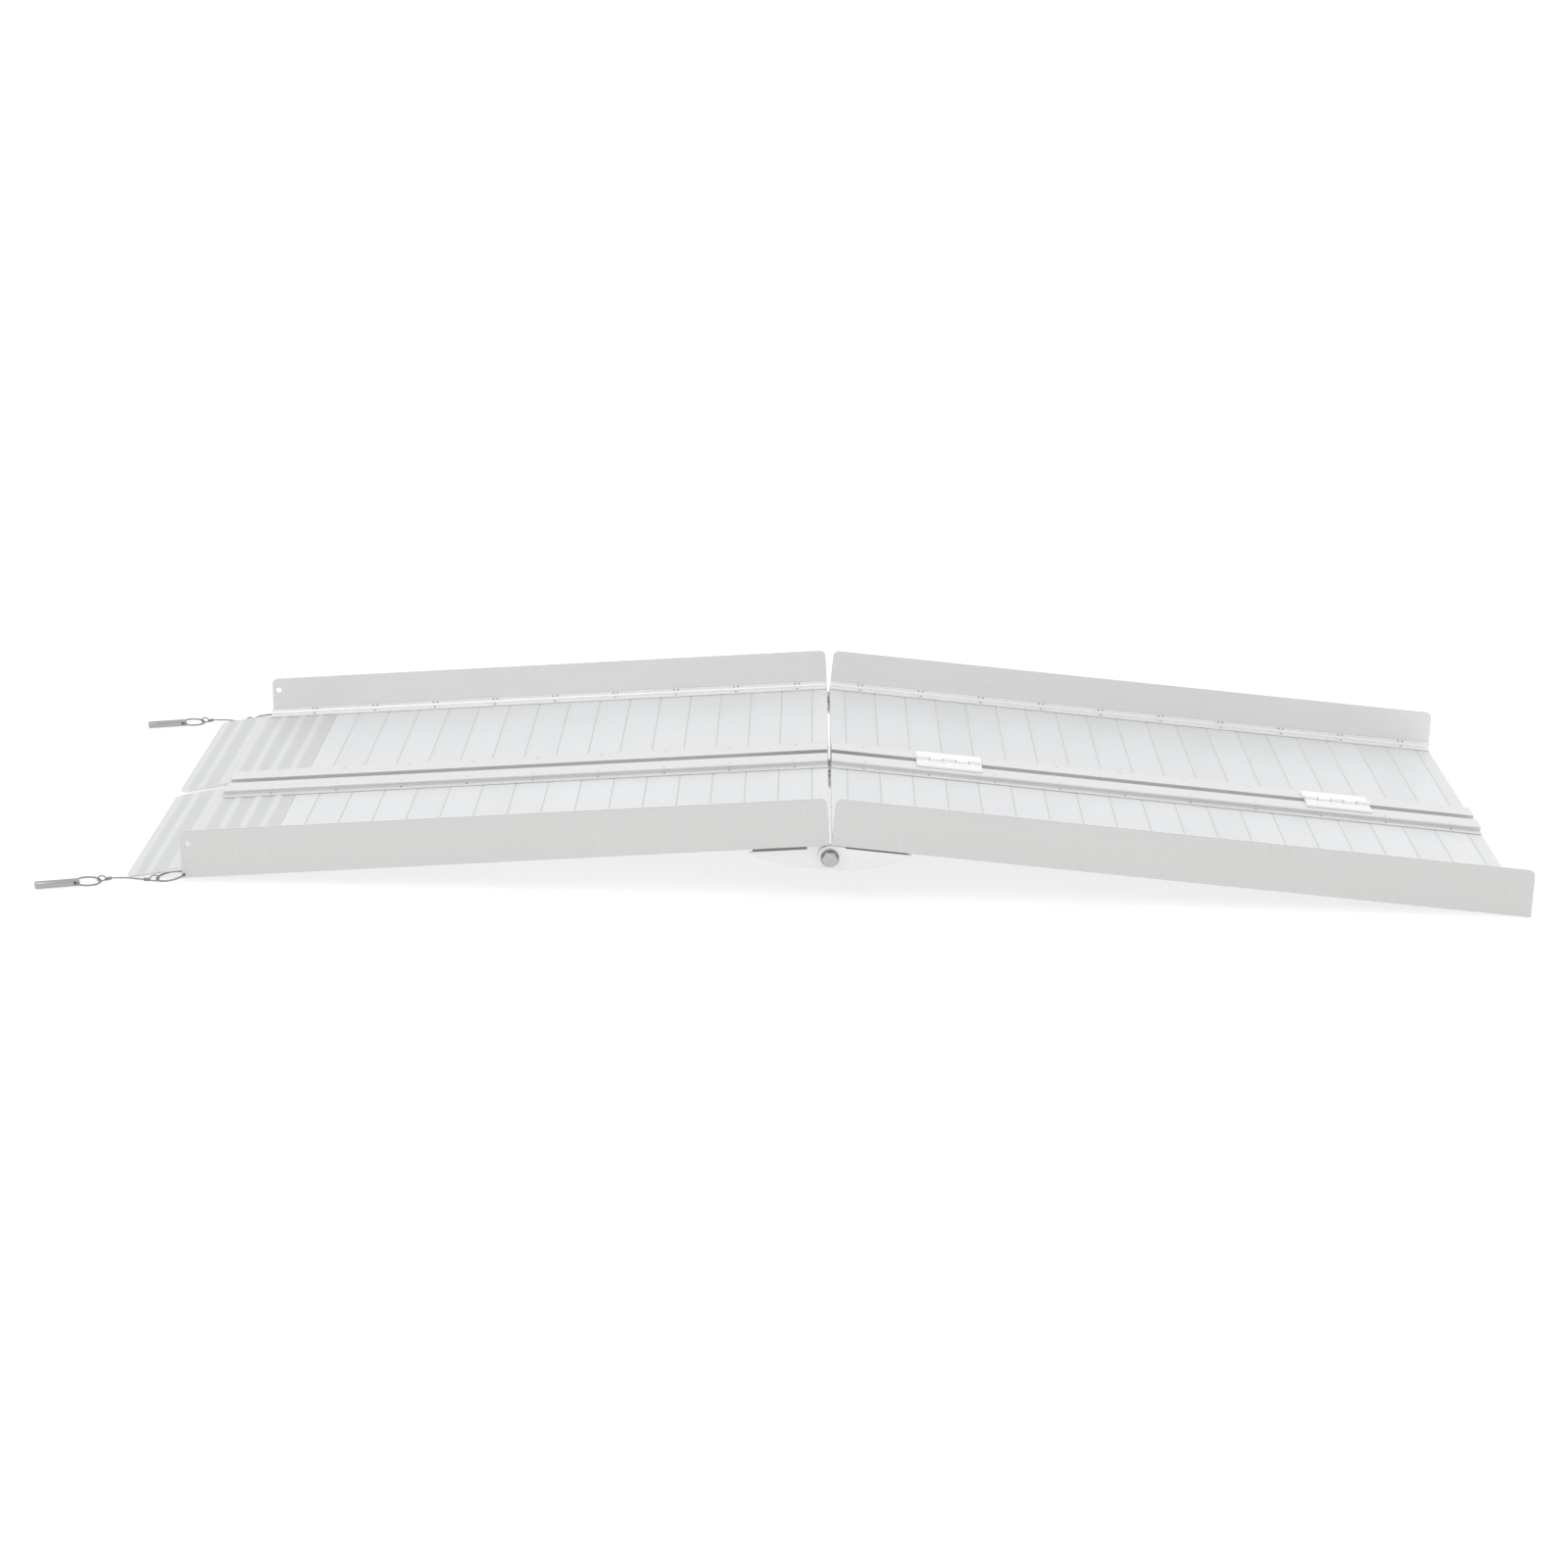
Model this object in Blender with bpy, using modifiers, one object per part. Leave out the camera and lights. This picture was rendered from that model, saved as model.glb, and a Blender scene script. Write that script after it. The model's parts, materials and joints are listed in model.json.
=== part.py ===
"""Folding loading ramp.

Two parallel tracks, each of two sections, stand as a low tent. Every section has a side rail, a plank
deck, a retaining strip and an inner channel. Bolted hinge plates under the rails let the left sections
fold below the right ones, and two leaf hinges let the far track fold up over the near track.

Frame: X along the ramp (right is +X), Y from the near track to the far one, Z up, origin on the floor
below the middle of the fold line. Inside a section, u runs from the fold line outwards, d runs inwards
from an edge of the track, and w is the height above the fold line's bolt axis.
"""
import math

import bmesh
import bpy
from mathutils import Matrix, Vector

MM = 0.001
GAP = 0.3 * MM                          # clearance between pieces that touch

# whole ramp
HALF_WIDTH = 365 * MM
TRACK_GAP = 17 * MM
TRACK_WIDTH = HALF_WIDTH - TRACK_GAP / 2
PLANKS = 20                             # in a right section
PLANK_PITCH = 45.75 * MM
HALF_LENGTH = PLANKS * PLANK_PITCH
TENT_ANGLE = math.radians(4.6)          # slope of each section at rest
END_GAP = GAP / 2                       # from the fold plane to each section's end

# heights in a section, from the bolt axis
RAIL_BOTTOM = 16.5 * MM
DECK_TOP = RAIL_BOTTOM + 9 * MM
RAIL_TOP = DECK_TOP + 55 * MM
HEM_TOP = DECK_TOP + 8 * MM

# side rail
RAIL_WALL = 3 * MM
RAIL_CORNER = 8 * MM
END_RAKE = 4.5 * MM                     # the rails' outer ends are upright when the ramp stands
LEDGE_REACH = 22 * MM
LEDGE_THICK = 1.8 * MM
LEDGE_START = 110 * MM                  # the ledge leaves room for the hinge plates
LEFT_RAIL_END = 843.2 * MM
PIN_HOLE_RADIUS = 4.2 * MM
PIN_HOLE_INSET = 13 * MM
PIN_HOLE_DROP = 18 * MM
RING_HOLE_RADIUS = 2.2 * MM
RING_HOLE_INSET = 3.2 * MM
RING_HOLE_RISE = 4.6 * MM

# deck
DECK_EDGE = 10.3 * MM
DECK_SHEET = 2.2 * MM
DECK_DEPTH = 6.9 * MM
FIRST_SEAM = 0.487 * PLANK_PITCH
SEAM_HALF_WIDTH = 0.9 * MM
SEAM_DEPTH = 1.3 * MM
SEAM_RIB = 3 * MM
PLANK_RIB = 1.2 * MM
RIGHT_DECK_END = HALF_LENGTH - 3 * MM

# retaining strip and inner channel
STRIP_THICK = 1.5 * MM
STRIP_RISE = 8.5 * MM
STRIP_REACH = 22 * MM
BEAD_RADIUS = 2.2 * MM
WEB_THICK = 2.5 * MM
HEM_THICK = 1.6 * MM
HEM_WIDTH = 33 * MM
HEM_FOOT = 13 * MM

# fold hinges
PLATE_REACH = 105 * MM
PLATE_EYE = 16 * MM
PLATE_THICK = 3 * MM
FRONT_DROP = 1.9 * MM                   # groove between the rail and the front plate
FRONT_NECK = 19 * MM
BACK_DROP = 5.4 * MM                    # groove between the rail and the back plate
BACK_NECK = 29 * MM
TAB_SET_BACK = 0.4 * MM
TAB_START = 6 * MM
TAB_END = 100 * MM
BOLT_RADIUS = 6 * MM
BOLT_HOLE = 6.2 * MM
BOLT_FLATS = 18.5 * MM
BOLT_HEAD = 7.5 * MM
LOW_HEAD = 4 * MM
NUT_HEIGHT = 8 * MM
WASHER_RADIUS = 12 * MM
WASHER_THICK = 1.8 * MM

# leaf hinges between the tracks
LEAF_LENGTH = 92 * MM
LEAF_WIDTH = 33 * MM
LEAF_THICK = 2.5 * MM
LEAF_STARTS = (119.5 * MM, 668.5 * MM)
KNUCKLES = 5
KNUCKLE_RADIUS = 3.5 * MM
KNUCKLE_HOLE = 1.7 * MM
LEAF_PIN_RADIUS = 1.4 * MM
SEAM_AXIS = HEM_TOP + GAP + LEAF_THICK + 1.1 * MM

# lips
LIP_START = 742 * MM
LIP_BEND = 855 * MM
LIP_SHORTER = 1.2 * MM                  # than the right half of the ramp
LIP_THICK = 2.4 * MM
LIP_CORNER = 12 * MM
LIP_RIB_INSET = 26 * MM
RIDGE_HEIGHT = 1.1 * MM
LIP_RIDGES = ((766 * MM, 11 * MM), (794 * MM, 11 * MM), (822 * MM, 11 * MM))
TIP_RIDGE = (32 * MM, 10 * MM)          # from the bend, and its width
BEND_RIDGE = 19 * MM

# security pins and lanyards
RING_WIRE = 1.2 * MM
ANCHOR_RING = 18 * MM
PIN_RING = 16.5 * MM
PIN_RADIUS = 5 * MM
PIN_LENGTH = 57 * MM
PIN_BORE = 2.2 * MM
WIRE_RADIUS = 1.0 * MM
EYE_MAJOR = 3.8 * MM
EYE_MINOR = 0.9 * MM
EYE_STRETCH = 1.7
EYE_SHIFT = 3.4 * MM                    # from the ring's wire to the middle of the eye
RING_SAG = 0.3 * MM                     # of a ring's wire below the middle of the eye
SLEEVE_RADIUS = 2.2 * MM
SLEEVE_LENGTH = 8 * MM
SLEEVE_OVERLAP = 1.1 * MM
PIN_BORE_INSET = 5.5 * MM
PIN_HEADING = math.radians(199)         # from the pin ring's middle towards the pin
EYE_HEADING = math.radians(41)          # from the pin ring's middle towards the wire
PIN_RING_PLACE = (121 * MM, 20 * MM)    # from the rail's ring hole, back along X and towards -Y
WIRE_ROUTE = ((63 * MM, 4.4 * MM, 1.3 * MM), (73 * MM, 7.2 * MM, 1.2 * MM), (83 * MM, 6.8 * MM, 1.4 * MM))

FOLD_HEIGHT = HALF_LENGTH * math.sin(TENT_ANGLE) - RAIL_BOTTOM * math.cos(TENT_ANGLE)
SIDES = {"left": -1, "right": 1}
TRACKS = {"near": -1, "far": 1}


# ---------------------------------------------------------------- scene and materials

def clear_scene():
    for item in list(bpy.data.objects):
        bpy.data.objects.remove(item, do_unlink=True)


def new_collection(name):
    collection = bpy.data.collections.new(name)
    bpy.context.scene.collection.children.link(collection)
    return collection


clear_scene()
RAMP = new_collection("folding_loading_ramp")
CUTTERS = new_collection("cutters")

LOOKS = {
    "rail": ((0.66, 0.66, 0.64), 0.45, 0.6),
    "strip": ((0.78, 0.78, 0.76), 0.35, 0.6),
    "deck": ((0.74, 0.75, 0.77), 0.42, 0.6),
    "channel": ((0.70, 0.70, 0.69), 0.45, 0.6),
    "hinge_plate": ((0.70, 0.70, 0.68), 0.40, 0.7),
    "fastener": ((0.45, 0.46, 0.47), 0.30, 1.0),
    "leaf_hinge": ((0.90, 0.90, 0.90), 0.35, 0.3),
    "lip": ((0.72, 0.73, 0.75), 0.45, 0.6),
    "pin": ((0.62, 0.62, 0.63), 0.15, 1.0),
    "ring": ((0.50, 0.50, 0.51), 0.25, 1.0),
    "wire": ((0.55, 0.55, 0.55), 0.40, 1.0),
    "crimp": ((0.40, 0.40, 0.40), 0.40, 1.0),
}


def material_for(name, look):
    colour, roughness, metallic = LOOKS[look]
    material = bpy.data.materials.new(name)
    material.use_nodes = True
    shader = material.node_tree.nodes["Principled BSDF"]
    shader.inputs["Base Color"].default_value = (*colour, 1)
    shader.inputs["Roughness"].default_value = roughness
    shader.inputs["Metallic"].default_value = metallic
    return material


# ---------------------------------------------------------------- shape tools

PLANES = {
    "XY": Matrix.Identity(4),
    "YZ": Matrix(((0, 0, 1, 0), (1, 0, 0, 0), (0, 1, 0, 0), (0, 0, 0, 1))),
    "XZ": Matrix(((1, 0, 0, 0), (0, 0, -1, 0), (0, 1, 0, 0), (0, 0, 0, 1))),
}


def arc(centre, radius, start, end, steps):
    """Points of an arc, angles in degrees."""
    points = []
    for i in range(steps + 1):
        angle = math.radians(start + (end - start) * i / steps)
        points.append((centre[0] + radius * math.cos(angle), centre[1] + radius * math.sin(angle)))
    return points


def circle(centre, radius, steps=18):
    return arc(centre, radius, 0, 360, steps)[:-1]


def prism(name, outline, plane, low, high, holes=()):
    """Fill a flat outline and extrude it from low to high along the plane's normal."""
    curve = bpy.data.curves.new(name, "CURVE")
    curve.dimensions = "2D"
    curve.fill_mode = "BOTH"
    curve.extrude = (high - low) / 2
    for loop in (outline, *holes):
        spline = curve.splines.new("POLY")
        spline.points.add(len(loop) - 1)
        for point, (a, b) in zip(spline.points, loop):
            point.co = (a, b, 0, 1)
        spline.use_cyclic_u = True
    guide = bpy.data.objects.new(name + "_outline", curve)
    RAMP.objects.link(guide)
    bpy.context.view_layer.update()
    shape = guide.evaluated_get(bpy.context.evaluated_depsgraph_get())
    mesh = bpy.data.meshes.new_from_object(shape)
    bpy.data.objects.remove(guide, do_unlink=True)
    bpy.data.curves.remove(curve)
    middle = Matrix.Translation((0, 0, (low + high) / 2))
    turn = PLANES[plane]
    if plane == "XZ":
        middle = Matrix.Translation((0, 0, -(low + high) / 2))
    mesh.transform(turn @ middle)
    weld(mesh)
    piece = bpy.data.objects.new(name, mesh)
    RAMP.objects.link(piece)
    return piece


def weld(mesh):
    work = bmesh.new()
    work.from_mesh(mesh)
    bmesh.ops.remove_doubles(work, verts=work.verts, dist=0.000005)
    bmesh.ops.recalc_face_normals(work, faces=work.faces)
    work.to_mesh(mesh)
    work.free()


def turned(name, profile, steps=18, closed=False):
    """Turn a profile of (radius, height) about Z. It runs top to bottom on its outer side."""
    mesh = bpy.data.meshes.new(name)
    count = len(profile)
    edges = [(i, i + 1) for i in range(count - 1)]
    if closed:
        edges.append((count - 1, 0))
    mesh.from_pydata([(r, 0, z) for r, z in profile], edges, [])
    piece = bpy.data.objects.new(name, mesh)
    RAMP.objects.link(piece)
    screw = piece.modifiers.new("turn", "SCREW")
    screw.axis = "Z"
    screw.angle = math.tau
    screw.steps = steps
    screw.render_steps = steps
    screw.use_merge_vertices = True
    screw.merge_threshold = 0.00001
    return piece


def boolean(piece, other, operation):
    """Cut, join or intersect with another object, which becomes a hidden guide."""
    RAMP.objects.unlink(other)
    CUTTERS.objects.link(other)
    other.hide_render = True
    other.display_type = "WIRE"
    modifier = piece.modifiers.new(operation.lower(), "BOOLEAN")
    modifier.operation = operation
    modifier.solver = "EXACT"
    modifier.object = other
    return piece


def finish(piece, parent, look, guides=()):
    """Give the piece its material and hang it, with its guides, on its section's empty."""
    piece.data.materials.clear()
    piece.data.materials.append(material_for(piece.name, look))
    for item in (piece, *guides):
        item.parent = parent
    return piece


def smooth(piece, angle=40):
    piece.data.shade_smooth()
    piece.data.set_sharp_from_angle(angle=math.radians(angle))


# ---------------------------------------------------------------- the sections' own frames

def empty(name, parent=None, location=(0, 0, 0), tilt=0.0):
    item = bpy.data.objects.new(name, None)
    item.empty_display_size = 0.05
    item.parent = parent
    item.location = location
    item.rotation_euler = (0, tilt, 0)
    RAMP.objects.link(item)
    return item


def section_frames():
    """Empties on the joint axes, parented as the joints are."""
    near_right = empty("near_right_section", None, (0, 0, FOLD_HEIGHT), TENT_ANGLE)
    seam = empty("seam_fold_axis", near_right, (0, 0, SEAM_AXIS))
    far_right = empty("far_right_section", seam, (0, 0, -SEAM_AXIS))
    near_left = empty("near_left_section", near_right, tilt=-2 * TENT_ANGLE)
    far_left = empty("far_left_section", far_right, tilt=-2 * TENT_ANGLE)
    return {("near", "right"): near_right, ("far", "right"): far_right,
            ("near", "left"): near_left, ("far", "left"): far_left}


def across(track, edge, depth):
    """Y of a point at a depth inwards from the outer or the inner edge of a track."""
    sign = TRACKS[track]
    if edge == "outer":
        return sign * (HALF_WIDTH - depth)
    return sign * (TRACK_GAP / 2 + depth)


def slab(name, track, edge, side, outline, depth_from, depth_to, holes=()):
    """A plate that stands lengthways: outline in (u, w), between two depths from an edge."""
    sign = SIDES[side]
    ends = sorted((across(track, edge, depth_from), across(track, edge, depth_to)))
    flipped = [(sign * u, w) for u, w in outline]
    openings = [[(sign * u, w) for u, w in hole] for hole in holes]
    return prism(name, flipped, "XZ", ends[0], ends[1], openings)


def bar(name, track, edge, side, outline, start, end):
    """A long profile: outline in (depth, w), from u = start to u = end."""
    sign = SIDES[side]
    ends = sorted((sign * start, sign * end))
    flipped = [(across(track, edge, depth), w) for depth, w in outline]
    return prism(name, flipped, "YZ", ends[0], ends[1])


def box_outline(a_low, a_high, b_low, b_high):
    return [(a_low, b_low), (a_high, b_low), (a_high, b_high), (a_low, b_high)]


# ---------------------------------------------------------------- parts of a section

def side_rail(track, side, frame):
    name = f"side_rail_{track}_{side}"
    end = LEFT_RAIL_END if side == "left" else HALF_LENGTH
    foot = RAIL_BOTTOM + GAP                # the wall stops just above the ledge's underside
    outline = [(END_GAP, foot), (end, foot)]
    outline += arc((end - END_RAKE - RAIL_CORNER, RAIL_TOP - RAIL_CORNER), RAIL_CORNER, 0, 90, 6)
    outline += arc((END_GAP + RAIL_CORNER, RAIL_TOP - RAIL_CORNER), RAIL_CORNER, 90, 180, 6)
    holes = []
    if side == "left":
        holes.append(circle((end - PIN_HOLE_INSET, RAIL_TOP - PIN_HOLE_DROP), PIN_HOLE_RADIUS))
        holes.append(circle((end - RING_HOLE_INSET, RAIL_BOTTOM + RING_HOLE_RISE), RING_HOLE_RADIUS, 12))
    rail = slab(name, track, "outer", side, outline, 0, RAIL_WALL, holes)
    ledge_outline = box_outline(RAIL_WALL / 2, LEDGE_REACH, RAIL_BOTTOM, RAIL_BOTTOM + LEDGE_THICK)
    ledge = bar(name + "_ledge", track, "outer", side, ledge_outline, LEDGE_START, end)
    boolean(rail, ledge, "UNION")
    return finish(rail, frame, "rail", [ledge])


def rail_strip(track, side, frame):
    end = LEFT_RAIL_END - GAP if side == "left" else RIGHT_DECK_END
    foot = RAIL_WALL + GAP
    base = DECK_TOP + GAP
    bead = (foot + 2.3 * MM, base + 2.6 * MM)
    low = math.degrees(math.asin((base + STRIP_THICK - bead[1]) / BEAD_RADIUS))
    high = math.degrees(math.acos((foot + STRIP_THICK - bead[0]) / BEAD_RADIUS))
    outline = [(foot, base), (STRIP_REACH, base), (STRIP_REACH, base + STRIP_THICK)]
    outline += arc(bead, BEAD_RADIUS, low, high, 7)
    outline += [(foot + STRIP_THICK, base + STRIP_RISE), (foot, base + STRIP_RISE)]
    strip = bar(f"rail_strip_{track}_{side}", track, "outer", side, outline, END_GAP, end)
    smooth(strip)
    return finish(strip, frame, "strip")


def deck_profile(start, end):
    """Side view of the planks: grooves above the seams, ribs below them and under each plank."""
    sheet = DECK_TOP - DECK_SHEET
    bottom = DECK_TOP - DECK_DEPTH
    seams = [FIRST_SEAM + k * PLANK_PITCH for k in range(PLANKS)]
    seams = [seam for seam in seams if seam < end - 2 * SEAM_RIB]
    ribs = [(seam, SEAM_RIB) for seam in seams]
    ribs += [(seam + PLANK_PITCH / 2, PLANK_RIB) for seam in seams[:-1]]
    top = [(start, DECK_TOP)]
    for seam in seams:
        top += [(seam - SEAM_HALF_WIDTH, DECK_TOP), (seam, DECK_TOP - SEAM_DEPTH),
                (seam + SEAM_HALF_WIDTH, DECK_TOP)]
    top.append((end, DECK_TOP))
    under = [(start, bottom), (start + SEAM_RIB, bottom), (start + SEAM_RIB, sheet)]
    for place, half in sorted(ribs):
        under += [(place - half, sheet), (place - half, bottom), (place + half, bottom),
                  (place + half, sheet)]
    under += [(end - SEAM_RIB, sheet), (end - SEAM_RIB, bottom), (end, bottom)]
    return top + under[::-1]


def deck(track, side, frame):
    end = LIP_START - GAP if side == "left" else RIGHT_DECK_END
    panel = slab(f"deck_{track}_{side}", track, "outer", side, deck_profile(END_GAP, end),
                 DECK_EDGE, TRACK_WIDTH - DECK_EDGE)
    return finish(panel, frame, "deck")


def inner_channel(track, side, frame):
    name = f"inner_channel_{track}_{side}"
    end = LEFT_RAIL_END - GAP if side == "left" else RIGHT_DECK_END
    foot = DECK_TOP + GAP
    bead = (HEM_WIDTH, HEM_TOP - 1.2 * MM)
    last = 180 - math.degrees(math.asin((HEM_TOP - bead[1]) / BEAD_RADIUS))
    outline = [(0, RAIL_BOTTOM), (LEDGE_REACH, RAIL_BOTTOM), (LEDGE_REACH, RAIL_BOTTOM + LEDGE_THICK),
               (WEB_THICK, RAIL_BOTTOM + LEDGE_THICK), (WEB_THICK, HEM_TOP - HEM_THICK),
               (HEM_WIDTH - HEM_THICK, HEM_TOP - HEM_THICK), (HEM_WIDTH - HEM_THICK, foot),
               (HEM_WIDTH + HEM_FOOT, foot), (HEM_WIDTH + HEM_FOOT, foot + STRIP_THICK),
               (HEM_WIDTH, foot + STRIP_THICK)]
    outline += arc(bead, BEAD_RADIUS, -90, last, 9)
    outline.append((0, HEM_TOP))
    channel = bar(name, track, "inner", side, outline, END_GAP, end)
    smooth(channel)
    relief = bar(name + "_relief", track, "inner", side,
                 box_outline(WEB_THICK, LEDGE_REACH + MM, RAIL_BOTTOM - MM, RAIL_BOTTOM + 3 * MM),
                 -MM, LEDGE_START)
    boolean(channel, relief, "DIFFERENCE")
    return finish(channel, frame, "channel", [relief])


# ---------------------------------------------------------------- fold hinges

def lens_outline(top, neck):
    """Half a lens round the bolt: an eye, a long arc below, a straight top edge and a neck to the rail."""
    tip_top = top
    tip = top - 1.5 * MM
    rise = tip + PLATE_EYE
    arc_radius = (PLATE_REACH ** 2 + rise ** 2) / (2 * rise)
    tip_angle = math.degrees(math.asin(PLATE_REACH / arc_radius))
    centre = (0, arc_radius - PLATE_EYE)
    outline = arc((0, 0), PLATE_EYE, 90, 270, 10)
    outline += arc(centre, arc_radius, -90, -90 + tip_angle, 8)[1:]
    neck_top = RAIL_BOTTOM - GAP
    outline += [(PLATE_REACH - 2 * MM, tip_top), (neck, tip_top), (neck, neck_top), (0, neck_top)]
    return outline


def hinge_plates(track, edge, frames):
    """Front plate on the right section, back plate on the left one."""
    wall_back = RAIL_WALL + GAP
    middle = wall_back + PLATE_THICK
    hole = circle((0, 0), BOLT_HOLE)
    tab_face = middle - PLATE_THICK + TAB_SET_BACK

    name = f"hinge_plate_{track}_{edge}_right"
    groove_top = RAIL_BOTTOM - FRONT_DROP
    front = slab(name, track, edge, "right", lens_outline(groove_top, FRONT_NECK), GAP, middle, [hole])
    tab = slab(name + "_tab", track, edge, "right",
               box_outline(TAB_START, TAB_END, groove_top - 2 * MM, DECK_TOP - GAP), tab_face, middle)
    boolean(front, tab, "UNION")
    finish(front, frames[track, "right"], "hinge_plate", [tab])

    name = f"hinge_plate_{track}_{edge}_left"
    groove_top = RAIL_BOTTOM - BACK_DROP
    near_face = middle + GAP
    far_face = near_face + PLATE_THICK
    back = slab(name, track, edge, "left", lens_outline(groove_top, BACK_NECK), near_face, far_face, [hole])
    tab = slab(name + "_tab", track, edge, "left",
               box_outline(TAB_START, TAB_END, groove_top - 2 * MM, DECK_TOP - GAP),
               near_face + TAB_SET_BACK, far_face)
    packer = slab(name + "_packer", track, edge, "left",
                  box_outline(TAB_START, TAB_END, RAIL_BOTTOM, DECK_TOP - GAP),
                  wall_back, middle + 2 * MM)
    boolean(back, tab, "UNION")
    boolean(back, packer, "UNION")
    finish(back, frames[track, "left"], "hinge_plate", [tab, packer])


def stand_on_axis(piece, track, edge, depth):
    """Turn a piece made about Z so that it points inwards, along Y, from the given depth."""
    inwards = -TRACKS[track] if edge == "outer" else TRACKS[track]
    piece.rotation_euler = (-inwards * math.pi / 2, 0, 0)
    piece.location = (0, across(track, edge, depth), 0)


def hexagon(name, flats, low, high):
    radius = flats / 2 / math.cos(math.pi / 6)
    return prism(name, circle((0, 0), radius, 6), "XY", low, high)


def bolt_set(track, edge, frame):
    """Bolt, washer and nut along the fold axis. Heights run inwards from the front plate's face."""
    head = BOLT_HEAD if edge == "outer" else LOW_HEAD
    washer_low = -WASHER_THICK
    head_low = washer_low - GAP - head
    grip = 2 * (GAP + PLATE_THICK) + RAIL_WALL
    nut_low = grip + GAP
    end = nut_low + NUT_HEIGHT + 2 * MM
    corner = BOLT_FLATS / 2 / math.cos(math.pi / 6)
    chamfer = 1.2 * MM

    name = f"hinge_bolt_{track}_{edge}"
    profile = [(0, end), (BOLT_RADIUS - MM, end), (BOLT_RADIUS, end - MM),
               (BOLT_RADIUS, washer_low - GAP), (corner, washer_low - GAP),
               (corner, head_low + chamfer), (corner - 2 * chamfer, head_low), (0, head_low)]
    bolt = turned(name, profile)
    flats = hexagon(name + "_flats", BOLT_FLATS, head_low - MM, end + MM)
    boolean(bolt, flats, "INTERSECT")
    for item in (bolt, flats):
        stand_on_axis(item, track, edge, 0)
    finish(bolt, frame, "fastener", [flats])

    profile = [(BOLT_HOLE, 0), (WASHER_RADIUS, 0), (WASHER_RADIUS, washer_low), (BOLT_HOLE, washer_low)]
    washer = turned(f"hinge_washer_{track}_{edge}", profile, closed=True)
    stand_on_axis(washer, track, edge, 0)
    finish(washer, frame, "fastener")

    name = f"hinge_nut_{track}_{edge}"
    top = nut_low + NUT_HEIGHT
    profile = [(BOLT_HOLE, top), (corner - 2 * chamfer, top), (corner, top - chamfer),
               (corner, nut_low), (BOLT_HOLE, nut_low)]
    nut = turned(name, profile, closed=True)
    flats = hexagon(name + "_flats", BOLT_FLATS, nut_low - MM, top + MM)
    boolean(nut, flats, "INTERSECT")
    for item in (nut, flats):
        stand_on_axis(item, track, edge, 0)
    finish(nut, frame, "fastener", [flats])


# ---------------------------------------------------------------- leaf hinges between the tracks

def leaf(number, track, start, frame):
    """A flat leaf on the hem, slotted for the other leaf's knuckles, with its own round the seam axis."""
    name = f"leaf_hinge_{number}_{track}"
    sign = TRACKS[track]
    base = HEM_TOP + GAP
    room = KNUCKLE_RADIUS + 0.4 * MM
    step = LEAF_LENGTH / KNUCKLES
    outline = box_outline(sign * 0.5 * MM, sign * LEAF_WIDTH, base, base + LEAF_THICK)
    plate = prism(name, outline, "YZ", start, start + LEAF_LENGTH)
    barrels = []
    guides = []
    for k in range(KNUCKLES):
        low = start + k * step
        if (k % 2 == 0) == (track == "near"):
            barrels.append(prism(f"{name}_knuckle_{k}", circle((0, SEAM_AXIS), KNUCKLE_RADIUS, 14), "YZ",
                                 low + 2 * GAP, low + step - 2 * GAP))
            continue
        slot_low = low - GAP if k else low - MM
        slot_high = low + step + (GAP if k < KNUCKLES - 1 else MM)
        slot = prism(f"{name}_slot_{k}", box_outline(-sign * MM, sign * room, base - MM, base + 2 * LEAF_THICK),
                     "YZ", slot_low, slot_high)
        boolean(plate, slot, "DIFFERENCE")
        guides.append(slot)
    for barrel in barrels:
        boolean(plate, barrel, "UNION")
    bore = prism(name + "_bore", circle((0, SEAM_AXIS), KNUCKLE_HOLE, 10), "YZ",
                 start - MM, start + LEAF_LENGTH + MM)
    boolean(plate, bore, "DIFFERENCE")
    return finish(plate, frame, "leaf_hinge", [*guides, *barrels, bore])


def leaf_hinges(frames):
    for number, start in enumerate(LEAF_STARTS, 1):
        leaf(number, "near", start, frames["near", "right"])
        leaf(number, "far", start, frames["far", "right"])
        pin = prism(f"leaf_hinge_{number}_pin", circle((0, SEAM_AXIS), LEAF_PIN_RADIUS, 8), "YZ",
                    start + MM, start + LEAF_LENGTH - MM)
        smooth(pin)
        finish(pin, frames["near", "right"], "fastener")


# ---------------------------------------------------------------- lips

def lip_slope():
    """Length and extra slope of the lip beyond its bend, so that its tip stands on the floor."""
    end_x = ((HALF_LENGTH - RAIL_CORNER) * math.cos(TENT_ANGLE)
             + (RAIL_TOP - RAIL_CORNER) * math.sin(TENT_ANGLE) + RAIL_CORNER - LIP_SHORTER)
    bend_x = LIP_BEND * math.cos(TENT_ANGLE) + DECK_TOP * math.sin(TENT_ANGLE)
    bend_z = FOLD_HEIGHT - LIP_BEND * math.sin(TENT_ANGLE) + DECK_TOP * math.cos(TENT_ANGLE)
    slope = TENT_ANGLE
    for _ in range(8):
        slope = math.atan2(bend_z - LIP_THICK * math.cos(slope), end_x - bend_x)
    return (end_x - bend_x) / math.cos(slope), slope - TENT_ANGLE


def ridge(name, track, centre, width, slope, margins):
    """A low rounded ridge across the lip, sunk into it. The margins are depths from the two edges."""
    half = width / 2
    foot = -0.15 * MM
    outline = [(-half, -MM), (half, -MM), (half, foot), (half * 0.7, RIDGE_HEIGHT * 0.75),
               (half * 0.35, RIDGE_HEIGHT), (-half * 0.35, RIDGE_HEIGHT), (-half * 0.7, RIDGE_HEIGHT * 0.75),
               (-half, foot)]
    cos, sin = math.cos(slope), math.sin(slope)
    placed = [(centre[0] + a * cos + b * sin, centre[1] - a * sin + b * cos) for a, b in outline]
    return slab(name, track, "outer", "left", placed, margins[0], TRACK_WIDTH - margins[1])


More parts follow.
